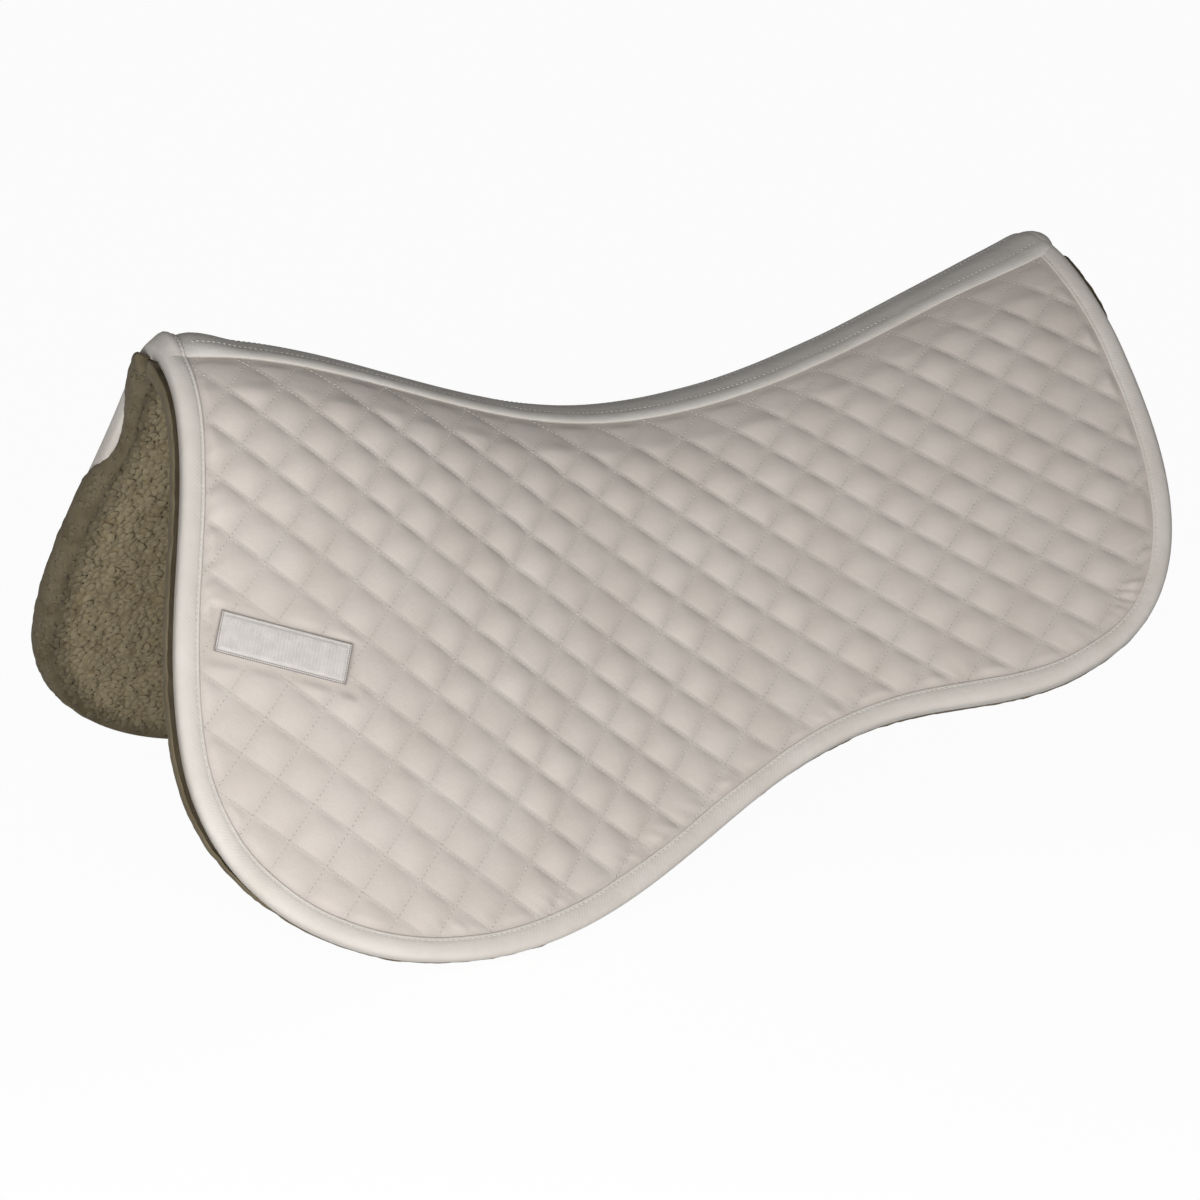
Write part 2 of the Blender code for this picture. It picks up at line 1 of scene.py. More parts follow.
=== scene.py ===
"""The looks of a sheepskin half pad, piece by piece, in the order in which it is sewn.

Lengths are in metres. Every piece follows one draped surface: x runs to the rear along the
spine, down is the distance down the cloth from the spine line, and rise is the height above
the quilting's stitch lines, positive on the outside. Side is -1 for left and +1 for right.
"""

import json
import math

import bmesh
import bpy
import numpy as np
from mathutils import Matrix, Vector, noise

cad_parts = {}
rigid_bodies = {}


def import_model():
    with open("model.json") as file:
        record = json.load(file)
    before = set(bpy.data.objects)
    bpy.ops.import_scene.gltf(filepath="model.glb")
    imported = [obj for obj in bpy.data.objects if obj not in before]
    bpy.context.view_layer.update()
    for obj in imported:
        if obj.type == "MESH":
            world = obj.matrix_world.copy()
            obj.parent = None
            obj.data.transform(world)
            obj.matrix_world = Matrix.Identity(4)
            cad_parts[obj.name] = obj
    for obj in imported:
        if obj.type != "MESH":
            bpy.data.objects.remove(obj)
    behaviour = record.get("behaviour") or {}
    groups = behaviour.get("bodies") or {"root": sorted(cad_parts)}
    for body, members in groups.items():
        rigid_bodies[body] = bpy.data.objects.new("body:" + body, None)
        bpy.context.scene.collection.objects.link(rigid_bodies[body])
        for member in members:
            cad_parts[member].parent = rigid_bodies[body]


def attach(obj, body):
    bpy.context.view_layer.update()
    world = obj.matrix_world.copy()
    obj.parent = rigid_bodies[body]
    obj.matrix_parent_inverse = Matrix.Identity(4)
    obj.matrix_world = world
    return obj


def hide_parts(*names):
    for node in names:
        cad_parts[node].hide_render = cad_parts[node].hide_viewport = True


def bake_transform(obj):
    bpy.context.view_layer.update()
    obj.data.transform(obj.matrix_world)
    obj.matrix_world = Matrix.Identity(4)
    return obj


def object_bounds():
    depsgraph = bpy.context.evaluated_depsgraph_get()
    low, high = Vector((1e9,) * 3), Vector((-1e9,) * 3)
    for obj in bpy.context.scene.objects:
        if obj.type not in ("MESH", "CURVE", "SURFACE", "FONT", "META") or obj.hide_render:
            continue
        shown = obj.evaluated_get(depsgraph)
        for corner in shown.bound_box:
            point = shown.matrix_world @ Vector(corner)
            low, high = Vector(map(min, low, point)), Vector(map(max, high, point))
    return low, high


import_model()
cad_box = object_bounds()
scene = bpy.context.scene
SIDES = (("left", -1.0), ("right", 1.0))


# The hides. Two tanned sheepskins, one a side, cut to the pad's outline with the wool inwards.
# They hang over the back in the curve that every other layer then follows, and the spine seam
# joins them. The suede face is hidden by the layers above it.
SPINE_FRONT_REACH = 0.305
SPINE_REAR_REACH = 0.323
SPINE_FRONT_RISE = 0.0696
SPINE_REAR_RISE = 0.0888
REAR_WAVE_SHARE = 0.680
SLOPE_FRONT = 60.7
SLOPE_REAR = 47.2
RIDGE_ROUND = 0.045
FLAP_REACH = 0.342
FLAP_WIDEST_DOWN = 0.260
FLAP_LOW_X = -0.227
FLAP_DROP = 0.387
WAIST_X = 0.092
WAIST_DROP = 0.260
REAR_LOW_X = 0.236
REAR_DROP = 0.2935
REAR_EDGE_X = 0.332
REAR_EDGE_DOWN = 0.1165
FRONT_STRAIGHT = 0.030
REAR_CORNER_POWER = 2.6
PANEL_START = 0.0200
SPINE_UNDERSIDE = -0.0110
HIDE_TOP = -0.0074
HIDE_THICK = 0.0015
LAYER_INSET = 0.0028


def spine_height(x):
    """Height of the spine line above its lowest point."""
    x = np.asarray(x, float)
    ahead = np.clip(-x / SPINE_FRONT_REACH, 0.0, 1.0)
    behind = np.clip(x / SPINE_REAR_REACH, 0.0, None)
    wave = math.pi * REAR_WAVE_SHARE
    front = SPINE_FRONT_RISE * (1 - np.cos(math.pi * ahead)) / 2
    return front + SPINE_REAR_RISE * (1 - np.cos(wave * behind)) / (1 - math.cos(wave))


def cloth_surface(x, down):
    """Points of the right side's draped surface for arrays x and down."""
    x, down = np.broadcast_arrays(np.asarray(x, float), np.asarray(down, float))
    share = (x + SPINE_FRONT_REACH) / (SPINE_FRONT_REACH + SPINE_REAR_REACH)
    slope = np.radians(SLOPE_FRONT + (SLOPE_REAR - SLOPE_FRONT) * share)
    along = down[..., None] * np.linspace(0.0, 1.0, 120)
    angle = slope[..., None] * np.tanh(along / RIDGE_ROUND)
    pace = along[..., 1:] - along[..., :-1]
    middle = (angle[..., 1:] + angle[..., :-1]) / 2
    width = np.sum(np.cos(middle) * pace, axis=-1)
    fall = np.sum(np.sin(middle) * pace, axis=-1)
    return np.stack([x, width, spine_height(x) - fall], axis=-1)


def drape(x, down, rise, side):
    """World points, and the outward normals there, at a rise above the draped surface."""
    x, down, rise = [np.asarray(value, float) for value in np.broadcast_arrays(x, down, rise)]
    step = 0.001
    points = cloth_surface(x, down)
    along_x = cloth_surface(x + step, down) - points
    along_down = cloth_surface(x, down + step) - points
    normal = np.cross(along_down, along_x)
    normal /= np.linalg.norm(normal, axis=-1, keepdims=True)
    normal *= np.where(normal[..., 2:] < 0, -1.0, 1.0)
    points = points + normal * rise[..., None]
    mirror = np.array([1.0, side, 1.0])
    points = points * mirror
    points[..., 2] -= SPINE_UNDERSIDE
    return points, normal * mirror


def pairs(x, down):
    """Arrays of x and down as rows of two."""
    return np.stack(np.broadcast_arrays(x, down), axis=-1)


def ease(share):
    """Smooth step from 0 to 1 along half a cosine wave."""
    return (1 - np.cos(math.pi * np.clip(share, 0.0, 1.0))) / 2


def whole_outline():
    """The cut edge of one side in x, down, from the spine's front end round to its rear end."""
    down = np.linspace(0.0, FLAP_WIDEST_DOWN, 60)
    share = (down - FRONT_STRAIGHT) / (FLAP_WIDEST_DOWN - FRONT_STRAIGHT)
    front = pairs(-SPINE_FRONT_REACH - (FLAP_REACH - SPINE_FRONT_REACH) * ease(share), down)
    turn = np.linspace(0.0, math.pi / 2, 60)
    flap = pairs(FLAP_LOW_X - (FLAP_REACH + FLAP_LOW_X) * np.cos(turn),
                 FLAP_WIDEST_DOWN + (FLAP_DROP - FLAP_WIDEST_DOWN) * np.sin(turn))
    share = np.linspace(0.0, 1.0, 80)
    waist = pairs(FLAP_LOW_X + (WAIST_X - FLAP_LOW_X) * share,
                  FLAP_DROP + (WAIST_DROP - FLAP_DROP) * ease(share))
    share = np.linspace(0.0, 1.0, 40)
    lobe = pairs(WAIST_X + (REAR_LOW_X - WAIST_X) * share,
                 WAIST_DROP + (REAR_DROP - WAIST_DROP) * ease(share))
    turn = np.linspace(0.0, math.pi / 2, 90)
    power = 2 / REAR_CORNER_POWER
    corner = pairs(REAR_LOW_X + (REAR_EDGE_X - REAR_LOW_X) * np.sin(turn) ** power,
                   REAR_EDGE_DOWN + (REAR_DROP - REAR_EDGE_DOWN) * np.clip(np.cos(turn), 0, 1) ** power)
    down = np.linspace(REAR_EDGE_DOWN, 0.0, 40)
    rear = pairs(REAR_EDGE_X + (SPINE_REAR_REACH - REAR_EDGE_X) * ease(1 - down / REAR_EDGE_DOWN), down)
    path = np.concatenate([front, flap[1:], waist[1:], lobe[1:], corner[1:], rear[1:]])
    return resample(path, np.linspace(0.0, 1.0, 801))


def path_lengths(path):
    """Distance along a path at each of its points."""
    return np.concatenate([[0.0], np.cumsum(np.linalg.norm(np.diff(path, axis=0), axis=1))])


def resample(path, shares):
    """Points at given shares of a path's length."""
    lengths = path_lengths(path)
    at = np.asarray(shares) * lengths[-1]
    return np.stack([np.interp(at, lengths, path[:, k]) for k in range(path.shape[1])], axis=-1)


outline = whole_outline()
outline_tangent = np.gradient(outline, axis=0)
outline_tangent /= np.linalg.norm(outline_tangent, axis=1, keepdims=True)
outline_inward = pairs(outline_tangent[:, 1], -outline_tangent[:, 0])


def inset_from_edge(x, down):
    """How far inside the cut edge each point lies, and which outline point is nearest."""
    spots = pairs(np.ravel(x), np.ravel(down))
    nearest = np.empty(len(spots), int)
    for start in range(0, len(spots), 4000):
        gap = spots[start:start + 4000, None] - outline[None]
        nearest[start:start + 4000] = np.argmin(np.sum(gap * gap, axis=-1), axis=1)
    inset = np.sum((spots - outline[nearest]) * outline_inward[nearest], axis=1)
    return inset.reshape(np.shape(x)), nearest.reshape(np.shape(x))


def inset_path(inset, top=PANEL_START):
    """The cut edge moved inwards over the cloth, cut off at the panel's top edge."""
    moved = outline + outline_inward * inset
    inside = moved[moved[:, 1] > top]
    return np.concatenate([[[inside[0, 0], top]], inside, [[inside[-1, 0], top]]])


def panel_grid(inset, columns, rows, top=PANEL_START):
    """Rows of x, down points that fill one side's outline, from the spine to the hem."""
    path = inset_path(inset, top)
    lengths = path_lengths(path)
    corner_x = FLAP_LOW_X - (FLAP_REACH + FLAP_LOW_X) * math.sqrt(0.5)
    corner_down = FLAP_WIDEST_DOWN + (FLAP_DROP - FLAP_WIDEST_DOWN) * math.sqrt(0.5)
    corners = [lengths[np.argmin(np.hypot(path[:, 0] - x, path[:, 1] - down))] / lengths[-1]
               for x, down in ((corner_x, corner_down), (REAR_EDGE_X, REAR_DROP))]
    v = np.linspace(0.0, 1.0, rows + 1)
    u = np.linspace(0.0, 1.0, columns + 1)
    left = resample(path, v * corners[0])
    right = resample(path, 1 - v * (1 - corners[1]))
    bottom = resample(path, corners[0] + u * (corners[1] - corners[0]))
    top_row = left[0] + u[:, None] * (right[0] - left[0])
    v = v[:, None, None]
    u = u[None, :, None]
    ruled_v = (1 - v) * top_row[None] + v * bottom[None]
    ruled_u = (1 - u) * left[:, None] + u * right[:, None]
    ends = (1 - v) * ((1 - u) * top_row[0] + u * top_row[-1]) + v * ((1 - u) * bottom[0] + u * bottom[-1])
    return ruled_v + ruled_u - ends


def grid_faces(rows, columns):
    """Four-cornered faces of a grid of rows by columns points."""
    k = np.arange(rows * columns).reshape(rows, columns)
    return np.stack([k[:-1, :-1], k[1:, :-1], k[1:, 1:], k[:-1, 1:]], axis=-1).reshape(-1, 4)


def grid_rim(rows, columns):
    """The points along a grid's border, all the way round."""
    k = np.arange(rows * columns).reshape(rows, columns)
    return np.concatenate([k[0, :-1], k[:-1, -1], k[-1, :0:-1], k[:0:-1, 0]])


def bridge(first, second):
    """Four-cornered faces between two closed loops of points."""
    return np.stack([first, np.roll(first, -1), np.roll(second, -1), second], axis=-1)


def closed_grid(rows, columns):
    """Faces of a layer with two grids of points, the second turned over, and walls at the rim."""
    faces, rim, count = grid_faces(rows, columns), grid_rim(rows, columns), rows * columns
    return np.concatenate([faces, faces[:, ::-1] + count, bridge(rim, rim + count)])


def new_piece(name, points, faces, material, cloth_uv=None):
    """A mesh piece in the row frame, smooth, with the cloth's own x, down as its UV map."""
    mesh = bpy.data.meshes.new(name)
    mesh.from_pydata(np.asarray(points).reshape(-1, 3).tolist(), [], [list(map(int, f)) for f in faces])
    if cloth_uv is not None:
        layer = mesh.uv_layers.new(name="cloth")
        corners = np.zeros(len(mesh.loops), int)
        mesh.loops.foreach_get("vertex_index", corners)
        layer.data.foreach_set("uv", np.asarray(cloth_uv, np.float32).reshape(-1, 2)[corners].ravel())
    mesh.materials.append(material)
    mesh.validate()
    item = bpy.data.objects.new(name, mesh)
    scene.collection.objects.link(item)
    shape = bmesh.new()
    shape.from_mesh(mesh)
    bmesh.ops.recalc_face_normals(shape, faces=shape.faces)
    if all(edge.is_manifold for edge in shape.edges) and shape.calc_volume(signed=True) < 0:
        bmesh.ops.reverse_faces(shape, faces=shape.faces)
    shape.to_mesh(mesh)
    shape.free()
    mesh.shade_smooth()
    return item


def layered_shell(name, uv, top, thick, side, material):
    """A closed layer of even thickness under its top's rise, over a grid of x, down points."""
    points = [drape(uv[..., 0], uv[..., 1], rise, side)[0].reshape(-1, 3) for rise in (top, top - thick)]
    return new_piece(name, np.concatenate(points), closed_grid(*uv.shape[:2]), material,
                     np.concatenate([uv.reshape(-1, 2)] * 2))


def hang(piece, side_name, node):
    """The piece is baked into its place and stands for one of its side's nodes, which is hidden."""
    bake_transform(piece)
    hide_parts(side_name + "_" + node)


def add_node(tree, kind, inputs=None, **settings):
    """A node with its settings and inputs. A node given as an input stands for its first output."""
    node = tree.nodes.new(kind)
    for key, value in settings.items():
        setattr(node, key, value)
    for key, value in (inputs or {}).items():
        if isinstance(value, bpy.types.Node):
            value = value.outputs[0]
        if isinstance(value, bpy.types.NodeSocket):
            tree.links.new(value, node.inputs[key])
        else:
            node.inputs[key].default_value = value
    return node


def coordinates(tree, own=False):
    """The piece's Object coordinates, or its own UV map."""
    if own:
        return add_node(tree, "ShaderNodeUVMap", uv_map="cloth").outputs["UV"]
    return add_node(tree, "ShaderNodeTexCoord").outputs["Object"]


def new_material(name, roughness, sheen, scale, low, high, detail=3.0):
    """A Principled material whose colour drifts between two tones with soft noise."""
    material = bpy.data.materials.new(name)
    material.use_nodes = True
    tree = material.node_tree
    shader = tree.nodes["Principled BSDF"]
    for key, value in (("Roughness", roughness), ("Specular IOR Level", 0.25), ("Sheen Weight", sheen),
                       ("Sheen Roughness", 0.6)):
        shader.inputs[key].default_value = value
    inputs = {"Vector": coordinates(tree), "Scale": scale, "Detail": detail}
    cloud = add_node(tree, "ShaderNodeTexNoise", inputs)
    ramp = add_node(tree, "ShaderNodeValToRGB", {"Fac": cloud})
    for element, place, colour in zip(ramp.color_ramp.elements, (0.35, 0.65), (low, high)):
        element.position = place
        element.color = (*colour, 1.0)
    tree.links.new(ramp.outputs["Color"], shader.inputs["Base Color"])
    return material


def emboss(material, height, strength, distance):
    """Relief that follows a height, over any relief the material already has."""
    tree = material.node_tree
    normal = tree.nodes["Principled BSDF"].inputs["Normal"]
    inputs = {"Height": height, "Strength": strength, "Distance": distance}
    if normal.links:
        inputs["Normal"] = normal.links[0].from_socket
    tree.links.new(add_node(tree, "ShaderNodeBump", inputs).outputs[0], normal)


def roughen(material, scale, strength, distance, detail=3.0, distortion=0.0):
    """Relief that follows soft noise."""
    tree = material.node_tree
    inputs = {"Vector": coordinates(tree), "Scale": scale, "Detail": detail, "Distortion": distortion}
    grain = add_node(tree, "ShaderNodeTexNoise", inputs)
    emboss(material, grain, strength, distance)


suede = new_material("sheepskin_suede", 0.85, 0.3, 60.0, (0.62, 0.50, 0.34), (0.74, 0.63, 0.47))
roughen(suede, 1800.0, 0.3, 0.0002, detail=2.0)

layer_uv = panel_grid(LAYER_INSET, 72, 44)
for side_name, side in SIDES:
    hide = layered_shell(side_name + "_hide_layer", layer_uv, HIDE_TOP, HIDE_THICK, side, suede)
    hang(hide, side_name, "sheepskin_hide")


# The wadding and its backing cloth. A thin polyester wadding lies between the outer cotton and a
# plain cotton backing, and the quilting is stitched through all three before the panel is cut.
WADDING_TOP = -0.0022
WADDING_THICK = 0.0040
BACKING_TOP = -0.0065
BACKING_THICK = 0.0006

batting = new_material("polyester_wadding", 1.0, 0.0, 220.0, (0.80, 0.80, 0.78), (0.92, 0.92, 0.90), 6.0)
plain_weave = new_material("backing_cotton", 0.9, 0.0, 90.0, (0.70, 0.67, 0.61), (0.78, 0.75, 0.69))
for side_name, side in SIDES:
    for name, node, top, thick, material in (
            ("_wadding_layer", "wadding", WADDING_TOP, WADDING_THICK, batting),
            ("_backing_layer", "backing_cloth", BACKING_TOP, BACKING_THICK, plain_weave)):
        layer = layered_shell(side_name + name, layer_uv, top, thick, side, material)
        hang(layer, side_name, node)


# The wool. Each hide's fleece is clipped to a dense pile about 12 mm deep that rests on the horse.
# It stops short of the spine channel. At the hem it rounds over to the inner binding, and its colour
# is painted down to half near the hem, on its rim and on the channel's rim at the front as painted shade,
# so its rim shows as a soft dark edge from the front. Small low locks cover its face.
WOOL_ROOT = -0.0092
WOOL_OVER_TAPE = -0.0120
WOOL_TIP = -0.0212
WOOL_RIM_START = 0.0060
WOOL_CHANNEL_START = PANEL_START + 0.0050
WOOL_CLUMP = 0.0120
WOOL_CLUMP_DEPTH = 0.0040
WOOL_CLUMP_LEVEL = 0.8
WOOL_ROOT_START = 0.0125
WOOL_ROOT_RUN = 0.005
BARE_EDGE_TOP = 0.045
BARE_EDGE_WIDEST = 0.104
BARE_EDGE_END = 0.142
BARE_EDGE_WIDTH = 0.0030
BARE_EDGE_SHARE = 0.50
BARE_EDGE_DEEP = 0.035
BARE_EDGE_RUN = 0.028
TUFT_ROUND = 0.016
TUFT_PULL = 0.014
TUFT_REACH = 0.0030
LOCK_SPACING = 0.0036
LOCK_LENGTH = 0.0017
LOCK_WIDTH = 0.0086
RIM_LOCK_SHARE = 0.7
RIM_ROWS_WITH_PILE = 4
RIM_LUMPS = 0.0012
RIM_LUMP_LEVEL = 0.6
RIM_BULGE_FROM = 0.005
HEM_REACH = 0.84
FRONT_REACH = 1.55
FRONT_END = 0.390
FRONT_RUN = 0.120
REAR_REACH = 1.50
REAR_REACH_TOP = 0.018
REAR_REACH_RISE = 0.015
REAR_REACH_END = 0.125
REAR_REACH_FADE = 0.055
# Painted shade on the wool: how far in from the hem its face is darkened, and where the channel's rim is
# darkened towards the front.
HEM_SHADE_END = 0.022
HEM_SHADE_RUN = 0.015
FRONT_SHADE_X = -0.20
FRONT_SHADE_RUN = 0.08
# The rim's rows in mm, each the reach past the wool's border and the rise; the lift is added to the
# hem's rows at the front and rear.
HEM_RIM = ((2.2, -20.8), (4.2, -19.4), (5.8, -17.1), (6.9, -14.3), (7.4, -11.4), (7.2, -8.8),
           (6.5, -7.6), (6.2, -9.2), (5.4, -11.8), (2.5, -12.0))
OUTER_LIFT = (0.0, 0.0, 0.0, 0.0, 1.0, 3.0, 4.0, 3.0, 0.0, 0.0)
CHANNEL_RIM = ((0.9, -20.6), (1.8, -19.2), (2.6, -17.2), (3.2, -14.8), (3.4, -12.6), (3.3, -11.0),
               (3.0, -10.2), (2.6, -9.8), (2.0, -9.6), (1.0, -9.4))


def clumps(points, size, seed):
    """Soft bumps of a given size over world points, from 0 between the clumps to 1 on them."""
    heights = np.empty(len(points))
    for k, point in enumerate(points):
        spot = Vector(point) / size + Vector((seed, 0.37 * seed, -seed))
        near, far = noise.voronoi(spot, distance_metric="DISTANCE")[0][:2]
        heights[k] = min(1.0, (far - near) * 1.3) ** 0.8 * 0.6 + 0.4 * noise.fractal(spot * 0.9, 0.7, 2.0, 3)
    return heights


def lock_shape(name, lean, curl, sides=4, rings=3):
    """One small lock of wool: a low lump, sunk a little into the pile, that leans and twists."""
    points = []
    for ring in range(rings):
        share = ring / rings
        radius = LOCK_WIDTH / 2 * math.cos(1.75 * share)
        bend = share * curl
        centre = LOCK_LENGTH * np.array([lean * share ** 1.5, 0.25 * math.sin(2.5 * bend),
                                         0.8 * math.sin(1.5 * share) - 0.25])
        for k in range(sides):
            turn = 2 * math.pi * k / sides + bend
            points.append(centre + radius * np.array([math.cos(turn), 0.8 * math.sin(turn), 0.0]))
    points.append(LOCK_LENGTH * np.array([1.15 * lean, 0.2 * math.sin(curl), 0.55]))
    faces = []
    for row in range(0, (rings - 1) * sides, sides):
        faces += [(row + k, row + (k + 1) % sides, row + sides + (k + 1) % sides, row + sides + k)
                  for k in range(sides)]
    last = (rings - 1) * sides
    faces += [(last + k, last + (k + 1) % sides, rings * sides) for k in range(sides)]
    faces.append(tuple(range(sides - 1, -1, -1)))
    mesh = bpy.data.meshes.new(name)
    mesh.from_pydata([list(point) for point in points], [], faces)
    mesh.shade_smooth()
    return bpy.data.objects.new(name, mesh)


def new_tree(name, **sockets):
    """An empty geometry tree with named inputs, one geometry output, and its two end nodes."""
    tree = bpy.data.node_groups.new(name, "GeometryNodeTree")
    for label, kind in {"Geometry": "Geometry", **sockets}.items():
        tree.interface.new_socket(label, in_out="INPUT", socket_type="NodeSocket" + kind)
    tree.interface.new_socket("Geometry", in_out="OUTPUT", socket_type="NodeSocketGeometry")
    return tree, tree.nodes.new("NodeGroupInput"), tree.nodes.new("NodeGroupOutput")


def end_tree(tree, into, out, instances):
    """The instances made real, in the material that the tree was given."""
    real = add_node(tree, "GeometryNodeRealizeInstances", {"Geometry": instances})
    inputs = {"Geometry": real, "Material": into.outputs["Material"]}
    dressed = add_node(tree, "GeometryNodeSetMaterial", inputs)
    tree.links.new(dressed.outputs[0], out.inputs[0])


def scatter(tree, into, density, least, most, **shares):
    """Points spread evenly over the piece, and a turn for each between two limits."""
    inputs = {"Mesh": into.outputs["Geometry"], "Distance Min": into.outputs["Spacing"],
              "Density Max": density, "Seed": into.outputs["Seed"], **shares}
    spots = add_node(tree, "GeometryNodeDistributePointsOnFaces", inputs, distribute_method="POISSON")
    spin = add_node(tree, "FunctionNodeRandomValue", {"Seed": 3, "Min": least, "Max": most},
                    data_type="FLOAT_VECTOR")
    turned = add_node(tree, "FunctionNodeRotateRotation",
                      {"Rotation": spots.outputs["Rotation"], "Rotate By": spin}, rotation_space="LOCAL")
    return spots, turned


def grow(source, tree, values, name):
    """Run a geometry tree on an object and keep the result as a plain mesh piece."""
    modifier = source.modifiers.new("grow", "NODES")
    modifier.node_group = tree
    for item in tree.interface.items_tree:
        if item.in_out == "INPUT" and item.name in values:
            modifier[item.identifier] = values[item.name]
    made = bpy.data.meshes.new_from_object(source.evaluated_get(bpy.context.evaluated_depsgraph_get()))
    source.modifiers.remove(modifier)
    made.shade_smooth()
    piece = bpy.data.objects.new(name, made)
    scene.collection.objects.link(piece)
    return piece


def mark(piece, name, values):
    """A number at each point of a piece, which its material or a tree reads."""
    layer = piece.data.attributes.new(name, "FLOAT", "POINT")
    layer.data.foreach_set("value", values.astype(np.float32))


def mix_colour(material, factor, other, blend_type="MIX"):
    """The material's colour mixed with another."""
    tree = material.node_tree
    colour = tree.nodes["Principled BSDF"].inputs["Base Color"]
    mixed = add_node(tree, "ShaderNodeMix", {"Factor": factor, 6: colour.links[0].from_socket, 7: other},
                     data_type="RGBA", blend_type=blend_type)
    tree.links.new(mixed.outputs[2], colour)


def shade_by(material, attribute, at_none, at_all):
    """The material's colour multiplied by a factor that follows an attribute of the mesh, as painted shade."""
    tree = material.node_tree
    amount = add_node(tree, "ShaderNodeAttribute", attribute_name=attribute)
    factor = add_node(tree, "ShaderNodeMapRange",
                      {"Value": amount.outputs["Fac"], "To Min": at_none, "To Max": at_all})
    mix_colour(material, 1.0, factor, "MULTIPLY")


fleece_tree, into, out = new_tree("fleece_locks", Spacing="Float", Seed="Int", Locks="Collection",
                                  Material="Material")
on_pile = add_node(fleece_tree, "GeometryNodeInputNamedAttribute", {"Name": "pile_share"}, data_type="FLOAT")
places, turns = scatter(fleece_tree, into, 200000.0, (-0.35, -0.35, 0.0), (0.35, 0.35, 6.283),
                        **{"Density Factor": on_pile})
kinds = add_node(fleece_tree, "GeometryNodeCollectionInfo",
                 {"Collection": into.outputs["Locks"], "Separate Children": True, "Reset Children": True})
size = add_node(fleece_tree, "FunctionNodeRandomValue", {"Seed": 5, 2: 0.70, 3: 1.15}, data_type="FLOAT")
fitted = add_node(fleece_tree, "ShaderNodeMath", {0: size.outputs[1], 1: on_pile}, operation="MULTIPLY")
shade = add_node(fleece_tree, "FunctionNodeRandomValue", {"Seed": 11}, data_type="FLOAT")
placed = add_node(fleece_tree, "GeometryNodeInstanceOnPoints",
                  {"Points": places, "Instance": kinds, "Pick Instance": True, "Rotation": turns,
                   "Scale": fitted})
kept = add_node(fleece_tree, "GeometryNodeStoreNamedAttribute",
                {"Geometry": placed, "Name": "lock_shade", "Value": shade.outputs[1]}, data_type="FLOAT",
                domain="INSTANCE")
end_tree(fleece_tree, into, out, kept)

fleece = new_material("cream_fleece", 1.0, 0.06, 55.0, (0.290, 0.226, 0.130), (0.395, 0.325, 0.204), 5.0)
tone = add_node(fleece.node_tree, "ShaderNodeAttribute", attribute_name="lock_shade")
mix_colour(fleece, tone.outputs["Fac"], (0.375, 0.314, 0.202, 1.0))
# Painted shade: the wool's colour falls to half near the hem and on its rims.
shade_by(fleece, "hem_painted_shade", 1.0, 0.50)
roughen(fleece, 800.0, 0.5, 0.0006, distortion=1.5)

locks = bpy.data.collections.new("lock_kinds")
for number, (lean, curl) in enumerate(((0.35, 1.2), (0.7, 2.2), (0.9, 1.6), (0.55, 3.0))):
    locks.objects.link(lock_shape("lock_%d" % number, lean, curl))
scene.collection.children.link(locks)

wool_uv = panel_grid(WOOL_RIM_START, 210, 126, WOOL_CHANNEL_START)
rows, columns = wool_uv.shape[:2]
wool_inset, wool_nearest = inset_from_edge(wool_uv[..., 0], wool_uv[..., 1])
on_hide = ease((wool_inset - WOOL_ROOT_START) / WOOL_ROOT_RUN)
wool_root = WOOL_OVER_TAPE + (WOOL_ROOT - WOOL_OVER_TAPE) * on_hide
front_down = np.where(outline[wool_nearest, 0] < FLAP_LOW_X, outline[wool_nearest, 1], 1.0)
bare_edge = (ease((front_down - BARE_EDGE_TOP) / (BARE_EDGE_WIDEST - BARE_EDGE_TOP))
             * ease((BARE_EDGE_END - front_down) / (BARE_EDGE_END - BARE_EDGE_WIDEST)))
hem_shade_share = ease((HEM_SHADE_END - wool_inset) / HEM_SHADE_RUN)
rim = grid_rim(rows, columns)
on_hem = np.concatenate([np.zeros(columns - 1), np.ones(len(rim) - columns + 1)])
on_hem[0] = 1.0
rim_inward = outline_inward[wool_nearest.ravel()[rim]]
rim_outward = np.where(on_hem[:, None] > 0, -rim_inward, np.array([[0.0, -1.0]]))
rim_along = path_lengths(outline)[wool_nearest.ravel()[rim]]
front_hem = ease((FRONT_END - rim_along) / FRONT_RUN) * on_hem
rear_down = np.where(outline[wool_nearest, 0] > REAR_LOW_X, outline[wool_nearest, 1], 1.0).ravel()[rim]
rear_hem = (ease((rear_down - REAR_REACH_TOP) / REAR_REACH_RISE)
            * ease((REAR_REACH_END - rear_down) / REAR_REACH_FADE) * on_hem)
hem_reach = HEM_REACH + (FRONT_REACH - HEM_REACH) * front_hem + (REAR_REACH - HEM_REACH) * rear_hem
front_corner = np.array([-SPINE_FRONT_REACH + WOOL_RIM_START, WOOL_CHANNEL_START])
pull = np.exp(-np.sum((wool_uv - front_corner) ** 2, axis=-1) / TUFT_ROUND ** 2)
tuft = pull.ravel()[rim]
rim_rows = list(zip(np.array(HEM_RIM) / 1000, np.array(CHANNEL_RIM) / 1000, np.array(OUTER_LIFT) / 1000))
count = rows * columns
rim_start = 2 * count
strips = [rim_start + n * len(rim) + np.arange(len(rim)) for n in range(len(HEM_RIM))]
strips = [rim] + strips + [rim + count]
wool_faces = np.concatenate([grid_faces(rows, columns), grid_faces(rows, columns)[:, ::-1] + count]
                            + [bridge(first, second) for first, second in zip(strips, strips[1:])])
